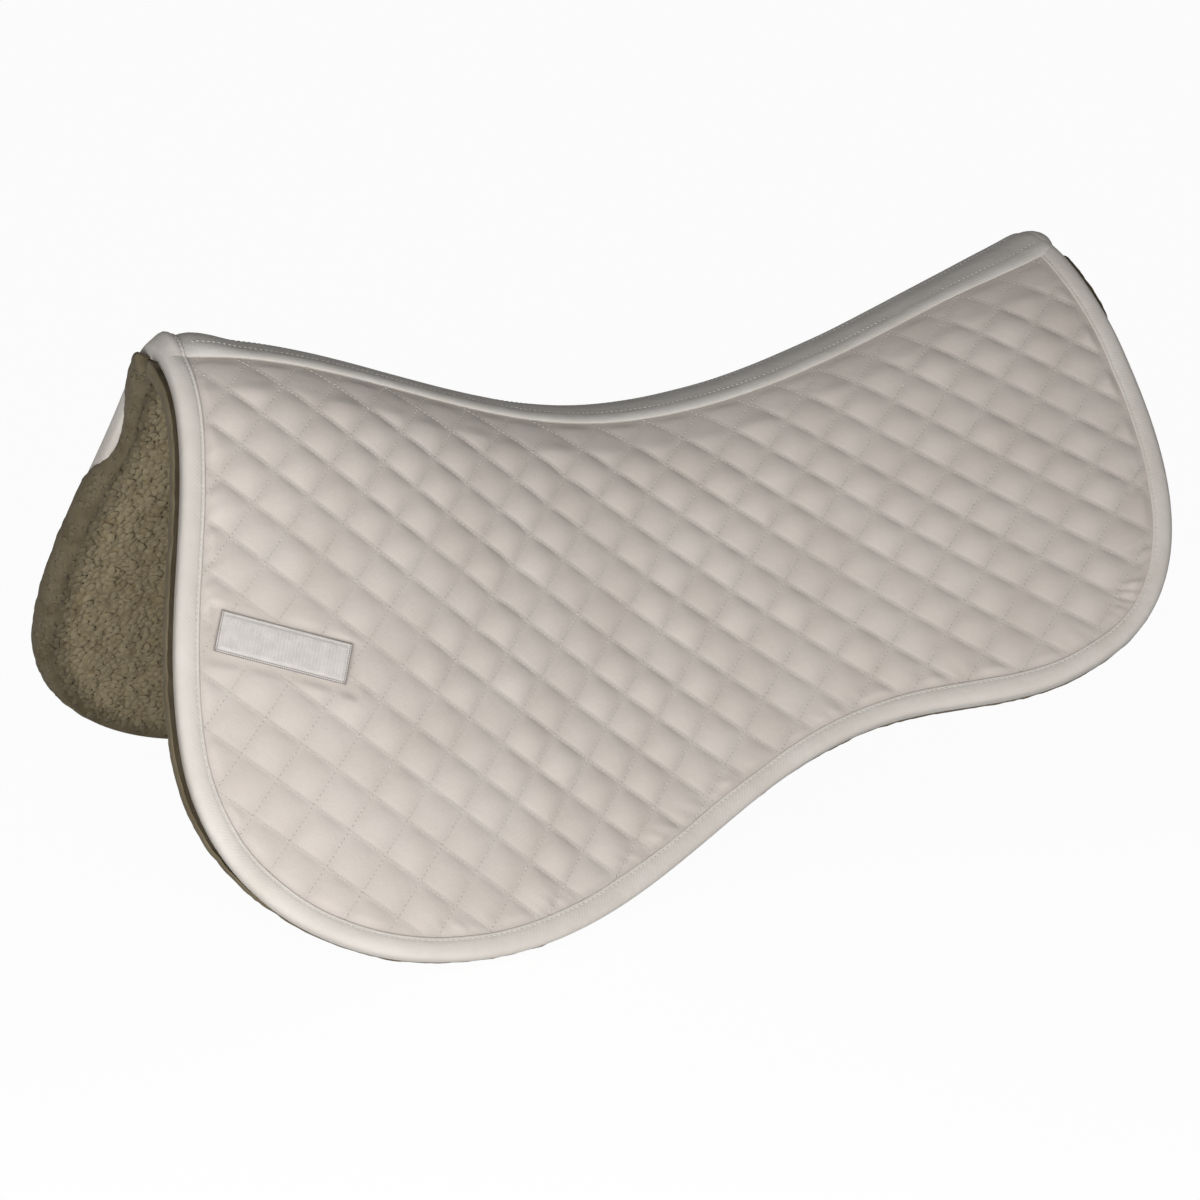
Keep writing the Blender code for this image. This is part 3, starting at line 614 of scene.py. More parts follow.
for side_name, side in SIDES:
    bare = (bare_edge * (side > 0)).ravel()[rim] * on_hem
    drawn_in = BARE_EDGE_WIDTH * bare_edge * ease((BARE_EDGE_DEEP - wool_inset) / BARE_EDGE_RUN) * (side > 0)
    pile_uv = wool_uv + outline_inward[wool_nearest] * drawn_in[..., None]
    pile_uv[..., 1] -= TUFT_PULL * pull
    rim_spots = pile_uv.reshape(-1, 2)[rim]
    x, down = pile_uv[..., 0].ravel(), pile_uv[..., 1].ravel()
    lumps = clumps(drape(x, down, WOOL_TIP, side)[0], WOOL_CLUMP, 4.0 + side)
    rim_lumps = RIM_LUMPS * (lumps[rim] - RIM_LUMP_LEVEL)
    layers = [drape(x, down, WOOL_TIP + (WOOL_CLUMP_LEVEL - lumps) * WOOL_CLUMP_DEPTH, side)[0],
              drape(x, down, wool_root.ravel(), side)[0]]
    for (hem_out, hem_rise), (channel_out, channel_rise), lift in rim_rows:
        out_by = hem_out * hem_reach * on_hem + channel_out * (1 - on_hem)
        out_by = out_by + (rim_lumps + TUFT_REACH * tuft) * (hem_out > RIM_BULGE_FROM)
        out_by = out_by * (1 - BARE_EDGE_SHARE * bare)
        rise = hem_rise * on_hem + channel_rise * (1 - on_hem)
        low_rise = bare + tuft * (1 - on_hem)
        rise = np.minimum(rise, WOOL_OVER_TAPE) * low_rise + rise * (1 - low_rise)
        rise = rise + lift * (front_hem * (1 - bare) + rear_hem)
        spots = rim_spots + rim_outward * out_by[:, None]
        layers.append(drape(spots[:, 0], spots[:, 1], rise, side)[0])
    points = np.concatenate(layers)
    pile = new_piece(side_name + "_fleece", points, wool_faces, fleece)
    pile_share = np.zeros(len(points))
    pile_share[:count] = 1.0
    pile_share[rim] = RIM_LOCK_SHARE * (side > 0) * front_hem
    far_rim = np.tile(pile_share[rim], RIM_ROWS_WITH_PILE)
    pile_share[rim_start:rim_start + len(far_rim)] = far_rim
    mark(pile, "pile_share", pile_share)
    # Painted shade marks: the wool's face near the hem, the whole hem rim, and the channel's rim towards the
    # front.
    hem_painted_shade = np.zeros(len(points))
    hem_painted_shade[:count] = hem_shade_share.ravel()
    rim_painted_shade = np.maximum(on_hem, ease((FRONT_SHADE_X - rim_spots[:, 0]) / FRONT_SHADE_RUN))
    hem_painted_shade[rim_start:] = np.tile(rim_painted_shade, len(HEM_RIM))
    mark(pile, "hem_painted_shade", hem_painted_shade)
    tufts = grow(pile, fleece_tree, {"Spacing": LOCK_SPACING, "Seed": 21, "Locks": locks,
                                     "Material": fleece}, side_name + "_fleece_locks")
    hang(pile, side_name, "wool_pile")
    hang(tufts, side_name, "wool_pile")
for lock in list(locks.objects):
    bpy.data.objects.remove(lock)
bpy.data.collections.remove(locks)


# The quilted cover. Natural cotton, stitched down to the backing in 25 mm diamonds that run with
# the spine, so every diamond stands up as a small pillow with puckers at its seams. The pillows
# are blown up by a cloth simulation that is held at the stitch lines.
QUILT_CELL = 0.0254
QUILT_CORNER_X = -0.040
QUILT_CORNER_DOWN = 0.0396
QUILT_SHEAR_SLOPE = 61.0
QUILT_PARTS = 12
QUILT_DOME = 0.0030
QUILT_MOST = 0.0052
COVER_HEM = 0.0040
COVER_TOP = 0.0115
COVER_CLOTH = 0.0008
BINDING_LIP = 0.0135
LOOSE_FROM = 0.001
LOOSE_RUN = 0.006
PUFF_LUCK = (0.72, 1.18)
LUCK_GRID = 64
DOME_POWER = 0.7
FRONT_SLACK = 0.25
SLACK_KEPT = 0.35
HELD_BELOW = 0.05
PRESSURE = 1500.0
SHRINK = -0.03
SETTLE_FRAMES = 20
TOP_ROW_DEPTH = 0.024
TOP_ROW_SHARE = 0.55
SPINE_HALF = 0.0196
TAPE_FLARE = 0.0050
TAPE_FLARE_FROM = 0.220
TAPE_FLARE_RUN = 0.090
CREASE_DEPTH = 0.0011
CREASE_HALF = 0.30
CREASE_FROM = -0.6
CREASE_TO = -7.3
PUCKER_PITCH = 0.0105
PUCKER_RISE = 0.00025
PUCKER_REACH = 0.018
CORNER_PUCKER_RISE = 0.0010
CORNER_PUCKER_REACH = 0.008
CORNER_X = 0.17
CORNER_DOWN = 0.15
PATCH_X = -0.273
PATCH_DOWN = 0.204
PATCH_TURN = 17.6
PATCH_LENGTH = 0.080
PATCH_WIDTH = 0.025

diamond_step = QUILT_CELL * math.sqrt(0.5)
shear = math.sin(math.radians(QUILT_SHEAR_SLOPE))


def quilt_spot(p, q):
    """x, down of a place given by the two families of stitch lines, which are whole numbers."""
    x = QUILT_CORNER_X + (p + q) * diamond_step
    return x, QUILT_CORNER_DOWN + (p - q) * diamond_step + shear * spine_height(x)


def tape_half(x):
    """Half the spine tape's width over the cloth, which flares towards the rear."""
    return SPINE_HALF + TAPE_FLARE * ease((np.asarray(x, float) - TAPE_FLARE_FROM) / TAPE_FLARE_RUN)


def patch_place(x, down):
    """Distances from the loop patch's middle along its length and width, on the cloth."""
    turn = math.radians(PATCH_TURN)
    along = (x - PATCH_X) * math.cos(turn) + (down - PATCH_DOWN) * math.sin(turn)
    across = (down - PATCH_DOWN) * math.cos(turn) - (x - PATCH_X) * math.sin(turn)
    return along, across


def ribs(material, own, scale, direction, distortion=0.0, detail=2.0):
    """Fine even ribs in one direction, as a height."""
    tree = material.node_tree
    inputs = {"Vector": coordinates(tree, own), "Scale": scale, "Distortion": distortion, "Detail": detail}
    wave = add_node(tree, "ShaderNodeTexWave", inputs, wave_type="BANDS", bands_direction=direction)
    return wave.outputs["Fac"]


a, b = np.meshgrid(np.arange(-15 * QUILT_PARTS, 26 * QUILT_PARTS),
                   np.arange(-24 * QUILT_PARTS, 17 * QUILT_PARTS), indexing="ij")
p, q = a / QUILT_PARTS, b / QUILT_PARTS
x, down = quilt_spot(p, q)
spacing = QUILT_CELL / QUILT_PARTS
near = (x > -FLAP_REACH) & (x < REAR_EDGE_X) & (down > COVER_TOP - spacing) & (down < FLAP_DROP)
inset = np.full(x.shape, -1.0)
nearest = np.zeros(x.shape, int)
inset[near], nearest[near] = inset_from_edge(x[near], down[near])
keep = near & (inset > COVER_HEM - spacing / 2) & (down > COVER_TOP - spacing / 2)
snap = keep & (inset < COVER_HEM + spacing / 2)
shift = (COVER_HEM - inset)[..., None] * outline_inward[nearest]
x = np.where(snap, x + shift[..., 0], x)
down = np.where(snap, down + shift[..., 1], down)
down = np.where(keep & (down < COVER_TOP + spacing / 2), COVER_TOP, down)
square = keep[:-1, :-1] & keep[1:, :-1] & keep[1:, 1:] & keep[:-1, 1:]
i, j = np.nonzero(square)
number = -np.ones(keep.shape, int)
used = np.zeros(keep.shape, bool)
for di, dj in ((0, 0), (1, 0), (1, 1), (0, 1)):
    used[i + di, j + dj] = True
number[used] = np.arange(used.sum())
cover_faces = np.stack([number[i, j], number[i + 1, j], number[i + 1, j + 1], number[i, j + 1]], axis=-1)
p, q, x, down = p[used], q[used], x[used], down[used]
inset, nearest = inset_from_edge(x, down)
on_line = (a[used] % QUILT_PARTS == 0) | (b[used] % QUILT_PARTS == 0)
faces_at = np.bincount(cover_faces.ravel(), minlength=len(x))
along, across = patch_place(x, down)
from_patch = np.maximum(np.abs(along) - PATCH_LENGTH / 2, np.abs(across) - PATCH_WIDTH / 2)
below_tape = down - tape_half(x)
loose = ease((inset - BINDING_LIP + LOOSE_FROM) / LOOSE_RUN)
for gap in (from_patch, below_tape):
    loose = loose * ease((gap - LOOSE_FROM) / LOOSE_RUN)
held = on_line | (faces_at < 4) | (loose < HELD_BELOW)
cell_luck = np.random.default_rng(12).uniform(*PUFF_LUCK, (LUCK_GRID, LUCK_GRID))
luck = cell_luck[np.floor(p).astype(int) % LUCK_GRID, np.floor(q).astype(int) % LUCK_GRID]
fullness = 1.0 - FRONT_SLACK * ease((-x - 0.10) / 0.12) * ease((down - 0.08) / 0.10)
fullness *= TOP_ROW_SHARE + (1 - TOP_ROW_SHARE) * ease((below_tape - TOP_ROW_DEPTH * 0.7) / 0.012)
dome = np.abs(np.sin(math.pi * p) * np.sin(math.pi * q)) ** DOME_POWER * luck * fullness * loose
flat, outward = drape(x, down, 0.0, -1.0)
start = flat + outward * (QUILT_DOME * dome)[:, None]
cover_uv = pairs(x, down)

cotton = new_material("quilted_cotton_cloth", 0.92, 0.15, 26.0,
                      (0.720, 0.646, 0.584), (0.765, 0.696, 0.636), 4.0)
# Painted shade: the cotton's colour is darkened by up to a tenth in the valleys between the pillows, where the
# puff is low.
shade_by(cotton, "puff", 0.90, 1.0)
warp, weft = [ribs(cotton, True, 420.0, way, 0.6, 1.0) for way in ("X", "Y")]
weave = add_node(cotton.node_tree, "ShaderNodeMath", {0: warp, 1: weft}, operation="MULTIPLY")
emboss(cotton, weave, 0.5, 0.00012)
roughen(cotton, 240.0, 0.35, 0.0006)

puffed = start
pillow = new_piece("pillow_cloth", start, cover_faces, cotton)
if pillow.data.polygons[3000].normal.y > 0:
    pillow.data.flip_normals()
pins = pillow.vertex_groups.new(name="held")
pins.add([int(k) for k in np.nonzero(held)[0]], 1.0, "REPLACE")
blow = pillow.modifiers.new("blow", "CLOTH")
for key, value in (("vertex_group_mass", "held"), ("use_pressure", True),
                   ("uniform_pressure_force", PRESSURE), ("shrink_min", SHRINK), ("quality", 5),
                   ("mass", 0.3), ("bending_stiffness", 0.6)):
    setattr(blow.settings, key, value)
blow.settings.effector_weights.gravity = 0.0
blow.collision_settings.use_collision = False
blow.point_cache.frame_start = 1
blow.point_cache.frame_end = SETTLE_FRAMES
for step in range(1, SETTLE_FRAMES + 1):
    scene.frame_set(step)
settled = pillow.evaluated_get(bpy.context.evaluated_depsgraph_get()).data
puffed = np.zeros(len(x) * 3)
settled.vertices.foreach_get("co", puffed)
puffed = puffed.reshape(-1, 3)
scene.frame_set(1)
bpy.data.objects.remove(pillow)
moved = puffed - flat
lift = np.sum(moved * outward, axis=1)
fill = np.minimum(1.0, QUILT_MOST / np.maximum(lift, 1e-6)) * (SLACK_KEPT + (1 - SLACK_KEPT) * fullness)
moved *= (fill * loose)[:, None]
# How far each point is puffed, which the cotton reads to paint shade into the valleys.
puff_share_for_painted_shade = np.clip(lift * loose / QUILT_DOME, 0.0, 1.0)
crease = np.exp(-(p / CREASE_HALF) ** 2) * ease(CREASE_FROM + 0.5 - q) * ease(q - CREASE_TO + 0.5)
along_hem = path_lengths(outline)[nearest]
in_corner = ease((x - CORNER_X) / 0.05) * ease((down - CORNER_DOWN) / 0.06)
pucker = np.sin(2 * math.pi * (along_hem + 0.7 * inset) / PUCKER_PITCH + 3.0 * np.sin(along_hem / 0.031)
                + 1.4 * in_corner * np.sin(along_hem / 0.0121))
pucker_end = BINDING_LIP + PUCKER_REACH + CORNER_PUCKER_REACH * in_corner * np.sin(along_hem / 0.0083 + 1.0)
pucker *= ease((inset - BINDING_LIP + 0.001) / 0.004) * ease((pucker_end - inset) / 0.014)
pucker *= PUCKER_RISE + (CORNER_PUCKER_RISE - PUCKER_RISE) * in_corner
pucker *= 0.75 + 0.75 * np.sin(along_hem / 0.017 + 2.0 * np.sin(along_hem / 0.043))
moved += outward * (pucker * (loose > 0) - CREASE_DEPTH * crease)[:, None]
edges = dict.fromkeys((int(face[k]), int(face[(k + 1) % 4])) for face in cover_faces for k in range(4))
count = len(x)
hem_walls = [(s, e, e + count, s + count) for s, e in edges if (e, s) not in edges]
cover_shell = np.concatenate([cover_faces, cover_faces[:, ::-1] + count, np.array(hem_walls)])
quilt_surface = {}
for side_name, side in SIDES:
    mirror = np.array([1.0, -side, 1.0])
    outer = (flat + moved) * mirror
    inner = (flat + moved - outward * COVER_CLOTH) * mirror
    cover = new_piece(side_name + "_cover", np.concatenate([outer, inner]), cover_shell, cotton,
                      np.concatenate([cover_uv, cover_uv]))
    mark(cover, "puff", np.concatenate([puff_share_for_painted_shade, puff_share_for_painted_shade]))
    quilt_surface[side_name] = outer
    hang(cover, side_name, "quilted_cover")


# The quilting thread. Cotton lockstitches about 3 mm long sink between the pillows along both
# families of lines, each a short rounded bar of thread, and end under the binding and the tape.
QUILT_STITCH = (0.0031, 0.0023, 0.00055)
QUILT_STITCH_RISE = 0.00025

stitch_tree, into, out = new_tree("stitch_row", Pitch="Float", Length="Float", Width="Float",
                                  Material="Material")
line = add_node(stitch_tree, "GeometryNodeMeshToCurve", {"Mesh": into.outputs["Geometry"]})
paced = add_node(stitch_tree, "GeometryNodeResampleCurve", {"Curve": line, "Length": into.outputs["Pitch"]},
                 mode="LENGTH")
bead = add_node(stitch_tree, "GeometryNodeMeshUVSphere", {"Segments": 5, "Rings": 3, "Radius": 0.5})
along_line = add_node(stitch_tree, "GeometryNodeInputTangent")
facing = add_node(stitch_tree, "FunctionNodeAlignRotationToVector", {"Vector": along_line}, axis="X")
stretch = add_node(stitch_tree, "ShaderNodeCombineXYZ",
                   {"X": into.outputs["Length"], "Y": into.outputs["Width"], "Z": into.outputs["Width"]})
sewn = add_node(stitch_tree, "GeometryNodeInstanceOnPoints",
                {"Points": paced, "Instance": bead, "Rotation": facing, "Scale": stretch})
end_tree(stitch_tree, into, out, sewn)


def thread_material(name, colour):
    """Spun thread with a fine diagonal twist."""
    material = new_material(name, 0.8, 0.1, 300.0, tuple(0.9 * part for part in colour), colour)
    emboss(material, ribs(material, False, 900.0, "DIAGONAL"), 0.4, 0.0001)
    return material


def sew(name, paths, stitch, material):
    """Rows of stitches of a given pitch, length and width along paths of world points."""
    points, edges = [], []
    for path in paths:
        first = len(points)
        points += [tuple(map(float, point)) for point in path]
        edges += [(first + k, first + k + 1) for k in range(len(path) - 1)]
    mesh = bpy.data.meshes.new(name + "_lines")
    mesh.from_pydata(points, edges, [])
    guide = bpy.data.objects.new(name + "_lines", mesh)
    scene.collection.objects.link(guide)
    pitch, length, width = stitch
    values = {"Pitch": pitch, "Length": length, "Width": width, "Material": material}
    piece = grow(guide, stitch_tree, values, name)
    bpy.data.objects.remove(guide)
    return piece


quilting_thread = thread_material("quilting_thread", (0.74, 0.70, 0.64))
rows = []
shown = (inset > BINDING_LIP - 0.0005) & (from_patch > 0.0) & (below_tape > -0.001)
for lines, other in ((a[used], b[used]), (b[used], a[used])):
    for value in np.unique(lines[lines % QUILT_PARTS == 0]):
        members = np.nonzero((lines == value) & shown)[0]
        members = members[np.argsort(other[members])]
        breaks = np.nonzero(np.diff(other[members]) > 1)[0] + 1
        rows += [run for run in np.split(members, breaks) if len(run) > 2]
for side_name, side in SIDES:
    lifted = quilt_surface[side_name] + outward * np.array([1.0, -side, 1.0]) * QUILT_STITCH_RISE
    stitches = sew(side_name + "_quilting_stitches", [lifted[run] for run in rows], QUILT_STITCH,
                   quilting_thread)
    hang(stitches, side_name, "quilted_cover")


# The edge binding. Cotton twill tape folded round the raw edge of each side, over the cover
# outside and over the hide inside, and topstitched near its inner edge. The layers under it push
# it out into a soft roll, and the stitching draws it in.
BINDING_STEP = 0.0030
UV_STEP = 0.0015
# The folded tape's section in mm, as inset from the cut edge and rise.
BINDING_PROFILE = (
    (13.5, 0.5), (13.4, 0.8), (12.9, 1.0), (12.2, 1.15), (11.6, 1.2), (11.0, 1.55), (9.8, 2.05),
    (8.0, 2.4), (6.0, 2.55), (4.0, 2.35), (2.2, 1.7), (0.9, 0.5), (0.2, -1.0), (0.0, -3.0),
    (0.0, -6.0), (0.2, -8.6), (0.9, -10.2), (2.4, -11.1), (5.5, -11.4), (8.5, -11.2), (9.6, -10.9),
    (10.4, -11.0), (11.0, -10.7), (10.7, -10.1), (8.0, -10.2), (3.2, -9.9), (1.5, -8.2), (1.3, -3.0),
    (1.6, -0.4), (3.2, 0.9), (6.5, 1.2), (10.0, 0.8), (11.6, 0.4), (13.0, 0.5),
)
LIP_RELIEF = (0.0, 0.35, 0.45, 0.25, -0.15)
LIP_RELIEF_END = 0.190
LIP_RELIEF_RUN = 0.080
LIP_RELIEF_LEAST = 0.25
LONG_ROLL = (0.16, 0.021, 1.7)
SHORT_ROLL = (0.06, 0.006, 8.1)
LIP_DRIFT = (0.0006, 0.034, 5.2)
ROLL_FROM_RISE = 0.001
END_FADE = 0.02
TOPSTITCH_INSET = 0.0116
TOPSTITCH_RISE = 0.0013
INNER_STITCH_INSET = 0.0096
INNER_STITCH_RISE = -0.0112
TOPSTITCH = (0.0034, 0.0026, 0.0006)


def wander(distance, amount, size, seed):
    """Slow unevenness along a sewn edge, up to an amount either way."""
    return amount * np.array([noise.noise(Vector((d / size, seed, 0.3))) for d in np.ravel(distance)])


def binding_ring(spot, inward, at, amount, relief):
    """The folded tape's section at one place on the edge, as x, down, rise rows."""
    section = np.array(BINDING_PROFILE) / 1000
    section[:len(LIP_RELIEF), 1] += relief * np.array(LIP_RELIEF) / 1000
    roll = 1 + amount * (wander(at, *LONG_ROLL) + wander(at, *SHORT_ROLL))
    lip = amount * wander(at, *LIP_DRIFT)
    depth = section[:, 0] + lip * np.clip(section[:, 0] / BINDING_LIP, 0, 1)
    rise = section[:, 1]
    rise = np.where(rise > ROLL_FROM_RISE, ROLL_FROM_RISE + (rise - ROLL_FROM_RISE) * roll, rise)
    centre = spot + inward * depth[:, None]
    return np.concatenate([centre, rise[:, None]], axis=1)


def loft(name, rings, material, uv):
    """A closed tube through equal rings of world points, capped at both ends."""
    count, size = rings.shape[:2]
    k = np.arange(count * size).reshape(count, size)
    n = np.roll(k, -1, axis=1)
    faces = np.stack([k[:-1], n[:-1], n[1:], k[1:]], axis=-1).reshape(-1, 4).tolist()
    faces += [k[0].tolist(), k[-1][::-1].tolist()]
    piece = new_piece(name, rings, faces, material, uv)
    piece.data.set_sharp_from_angle(angle=math.radians(60))
    return piece


def tape_material(name, low, high):
    """Cotton twill tape: fine diagonal ribs along its own length and width."""
    material = new_material(name, 0.88, 0.15, 34.0, low, high, 4.0)
    emboss(material, ribs(material, True, 260.0, "DIAGONAL", 0.4), 0.4, 0.00012)
    roughen(material, 150.0, 0.5, 0.0009)
    return material


binding_cotton = tape_material("binding_cotton", (0.740, 0.685, 0.625), (0.790, 0.742, 0.685))
topstitch_thread = thread_material("topstitch_thread", (0.80, 0.77, 0.72))
edge = inset_path(0.0)
edge_lengths = path_lengths(edge)
stations = np.linspace(0.0, edge_lengths[-1], int(edge_lengths[-1] / BINDING_STEP))
spots = pairs(*[np.interp(stations, edge_lengths, edge[:, k]) for k in range(2)])
heading = np.gradient(spots, axis=0)
heading[0], heading[-1] = (0.0, 1.0), (0.0, -1.0)
heading /= np.linalg.norm(heading, axis=1, keepdims=True)
inwards = pairs(heading[:, 1], -heading[:, 0])
ends = np.minimum(stations, stations[-1] - stations)
relief = LIP_RELIEF_LEAST + (1 - LIP_RELIEF_LEAST) * ease((LIP_RELIEF_END - stations) / LIP_RELIEF_RUN)
for side_name, side in SIDES:
    rings = np.array([binding_ring(*place) for place in zip(spots, inwards, stations + side,
                                                            ease(ends / END_FADE), relief)])
    world = drape(rings[..., 0], rings[..., 1], rings[..., 2], side)[0]
    uv = pairs(stations[:, None], np.arange(rings.shape[1])[None] * UV_STEP)
    binding = loft(side_name + "_binding", world, binding_cotton, uv)
    hang(binding, side_name, "edge_binding")
    seams = []
    for stitch_inset, stitch_rise in ((TOPSTITCH_INSET, TOPSTITCH_RISE),
                                      (INNER_STITCH_INSET, INNER_STITCH_RISE)):
        seam = (spots + inwards * stitch_inset)[1:-1]
        seams.append(drape(seam[:, 0], seam[:, 1], stitch_rise, side)[0])
    stitches = sew(side_name + "_binding_stitches", seams, TOPSTITCH, topstitch_thread)
    hang(stitches, side_name, "edge_binding")


# The spine. The two sides' edges are butted and joined by a seam, and a smooth cotton tape is sewn
# over it outside and another inside. The edge binding carries on over both ends of the spine.
# The tape's section in mm, as distance across the spine and rise.
TAPE_PROFILE = (
    (-19.6, 0.6), (-19.6, 1.1), (-19.2, 1.7), (-18.2, 2.4), (-16.6, 2.9), (-14.6, 3.1), (-12.6, 2.95),
    (-11.0, 2.65), (-9.8, 2.5), (-8.0, 2.55), (-4.0, 2.7), (0.0, 2.75), (4.0, 2.7), (8.0, 2.55),
    (9.8, 2.5), (11.0, 2.65), (12.6, 2.95), (14.6, 3.1), (16.6, 2.9), (18.2, 2.4), (19.2, 1.7),
    (19.6, 1.1), (19.6, 0.6), (15.5, 0.5), (9.0, 0.7), (0.0, 0.8), (-9.0, 0.7), (-15.5, 0.5),
)
TAPE_STITCH_ACROSS = 0.0100
TAPE_STITCH_RISE = 0.0026
TAPE_SEAT = 0.0007
TAPE_START = 0.0128
TAPE_PAST_END = 0.0014
TUCK_LENGTH = 0.010
TUCK_SHARE = 0.2
FRONT_SWELL = 0.0040
FRONT_SWELL_FROM = -0.248
FRONT_SWELL_RUN = 0.034
FRONT_ROLL = 0.0014
ROLL_PLACE = 0.009
ROLL_HALF = 0.005
HUMP_LENGTH = 0.024
HUMP_RISE = 0.0016
REAR_BULGE = 0.0045
HUMP_ROUND = 0.0090
HUMP_FOOT = -0.0050
SEAM_INSET = 0.003
LINING_INSET = 0.0116
LINING_TOP = -0.0098
LINING_SHARE = 0.55


def over_ridge(x, across, rise):
    """World points over the spine, with across positive on the right side."""
    points = drape(x, np.abs(across), rise, 1.0)[0]
    points[..., 1] *= np.where(across < 0, -1.0, 1.0)
    return points


def end_swell(x):
    """How far the sewn layers lift the spine's middle towards each end."""
    front = FRONT_SWELL * ease((FRONT_SWELL_FROM - x) / FRONT_SWELL_RUN)
    return front + HUMP_RISE * ease((x - SPINE_REAR_REACH + HUMP_LENGTH + 0.006) / HUMP_LENGTH)


def ride_spine(piece, *nodes, slot="binding_tape"):
    """The piece stays on the spine and stands for its nodes."""
    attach(piece, "spine")
    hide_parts(*nodes)


def crown(across, half=PANEL_START):
    """1 over the middle of the spine, falling to 0 at its edges."""
    return 1 - (across / half) ** 2


def spine_strip(name, along, section, rise, material, widen=1.0):
    """A closed tape along the spine through one section, whose rise and width may change."""
    rings = over_ridge(along[:, None], section[None, :, 0] * widen, rise)
    return loft(name, rings, material, pairs(along[:, None], section[None, :, 0]))


tape_cotton = tape_material("spine_tape_cotton", (0.715, 0.675, 0.620), (0.770, 0.735, 0.690))
profile = np.array(TAPE_PROFILE) / 1000
turn = np.linspace(0.0, math.pi / 2, 10)[1:]
straight = np.linspace(-SPINE_FRONT_REACH + TAPE_START, SPINE_REAR_REACH + TAPE_PAST_END - HUMP_ROUND, 250)
along_spine = np.concatenate([straight, straight[-1] + HUMP_ROUND * np.sin(turn)])
stand = np.concatenate([np.ones(len(straight)), np.cos(turn) ** 0.8])
swell = end_swell(along_spine)
tuck = TUCK_SHARE + (1 - TUCK_SHARE) * ease((along_spine - straight[0]) / TUCK_LENGTH)
on_top = profile[None, :, 1] > 0.001
rise = profile[None, :, 1] + on_top * wander(along_spine, 0.0003, 0.03, 2.2)[:, None]
rise = TAPE_SEAT + (rise - TAPE_SEAT) * tuck[:, None]
rise = rise + on_top * crown(profile[None, :, 0], SPINE_HALF) * swell[:, None]
rise = HUMP_FOOT + (rise - HUMP_FOOT) * stand[:, None]
widen = tape_half(along_spine) / SPINE_HALF * (0.9 + 0.1 * stand)
tape = spine_strip("spine_top_tape", along_spine, profile, rise, tape_cotton, widen[:, None])
ride_spine(tape, "spine_tape")
along_seam = straight[3:-1]
seam_across = TAPE_STITCH_ACROSS * tape_half(along_seam) / SPINE_HALF
stitched = slice(3, len(straight) - 1)
seam_rise = TAPE_SEAT + (TAPE_STITCH_RISE - TAPE_SEAT) * tuck[stitched]
seam_rise = seam_rise + swell[stitched] * crown(TAPE_STITCH_ACROSS, SPINE_HALF)
seam_rows = [over_ridge(along_seam, way * seam_across, seam_rise) for way in (-1.0, 1.0)]
stitches = sew("spine_tape_stitches", seam_rows, TOPSTITCH, topstitch_thread)
ride_spine(stitches, "spine_tape")

low, high = -0.0088, 0.0002
core = np.array([(-19.4, low), (-19.4, high), (-9.0, high), (0.0, high), (9.0, high), (19.4, high),
                 (19.4, low), (9.0, low), (0.0, low), (-9.0, low)])
core[:, 0] /= 1000
core_x = np.linspace(-SPINE_FRONT_REACH + SEAM_INSET, SPINE_REAR_REACH - SEAM_INSET, 120)
seam_core = spine_strip("spine_seam_layers", core_x, core, core[None, :, 1], plain_weave)
ride_spine(seam_core, "spine_seam", slot="quilted_cotton")

lining_x = np.linspace(-SPINE_FRONT_REACH + LINING_INSET, SPINE_REAR_REACH - LINING_INSET, 200)
lining = profile.copy()
lining[:, 1] = LINING_TOP - (lining[:, 1] - 0.0009) * LINING_SHARE
under_tape = spine_strip("spine_under_tape", lining_x, lining, lining[None, :, 1], tape_cotton)
ride_spine(under_tape, "spine_lining_tape")

acrosses = np.linspace(-PANEL_START, PANEL_START, 17)
between = acrosses[1:-1]
for name, x_end, inward, roll, bulge in (("front", -SPINE_FRONT_REACH, 1.0, FRONT_ROLL, 0.0),
                                         ("rear", SPINE_REAR_REACH, -1.0, 0.0, REAR_BULGE)):
    rings = []
    for across in acrosses:
        fold_x = x_end - inward * bulge * crown(across)
        ring = binding_ring(np.array([fold_x, 0.0]), np.array([inward, 0.0]), across, 0.0, relief[0])
        depth = np.abs(ring[:, 0] - fold_x)
        lift = end_swell(ring[:, 0]) + roll * np.exp(-((depth - ROLL_PLACE) / ROLL_HALF) ** 2)
        lift = lift * crown(across) * ease(depth / 0.008) * (ring[:, 2] > -0.0005)
        rings.append(over_ridge(ring[:, 0], across, ring[:, 2] + lift))
    rings = np.array(rings)
    uv = pairs(acrosses[:, None], np.arange(rings.shape[1])[None] * UV_STEP)
    end_tape = loft(name + "_spine_end_tape", rings, binding_cotton, uv)
    ride_spine(end_tape, name + "_spine_binding")
    seam_x = x_end + inward * (TOPSTITCH_INSET - bulge * crown(between))
    seam_lift = end_swell(seam_x) + roll * math.exp(-((TOPSTITCH_INSET - ROLL_PLACE) / ROLL_HALF) ** 2)
    seam = over_ridge(seam_x, between, TOPSTITCH_RISE + seam_lift * crown(between))
    stitches = sew(name + "_spine_end_stitches", [seam], TOPSTITCH, topstitch_thread)
    ride_spine(stitches, name + "_spine_binding")


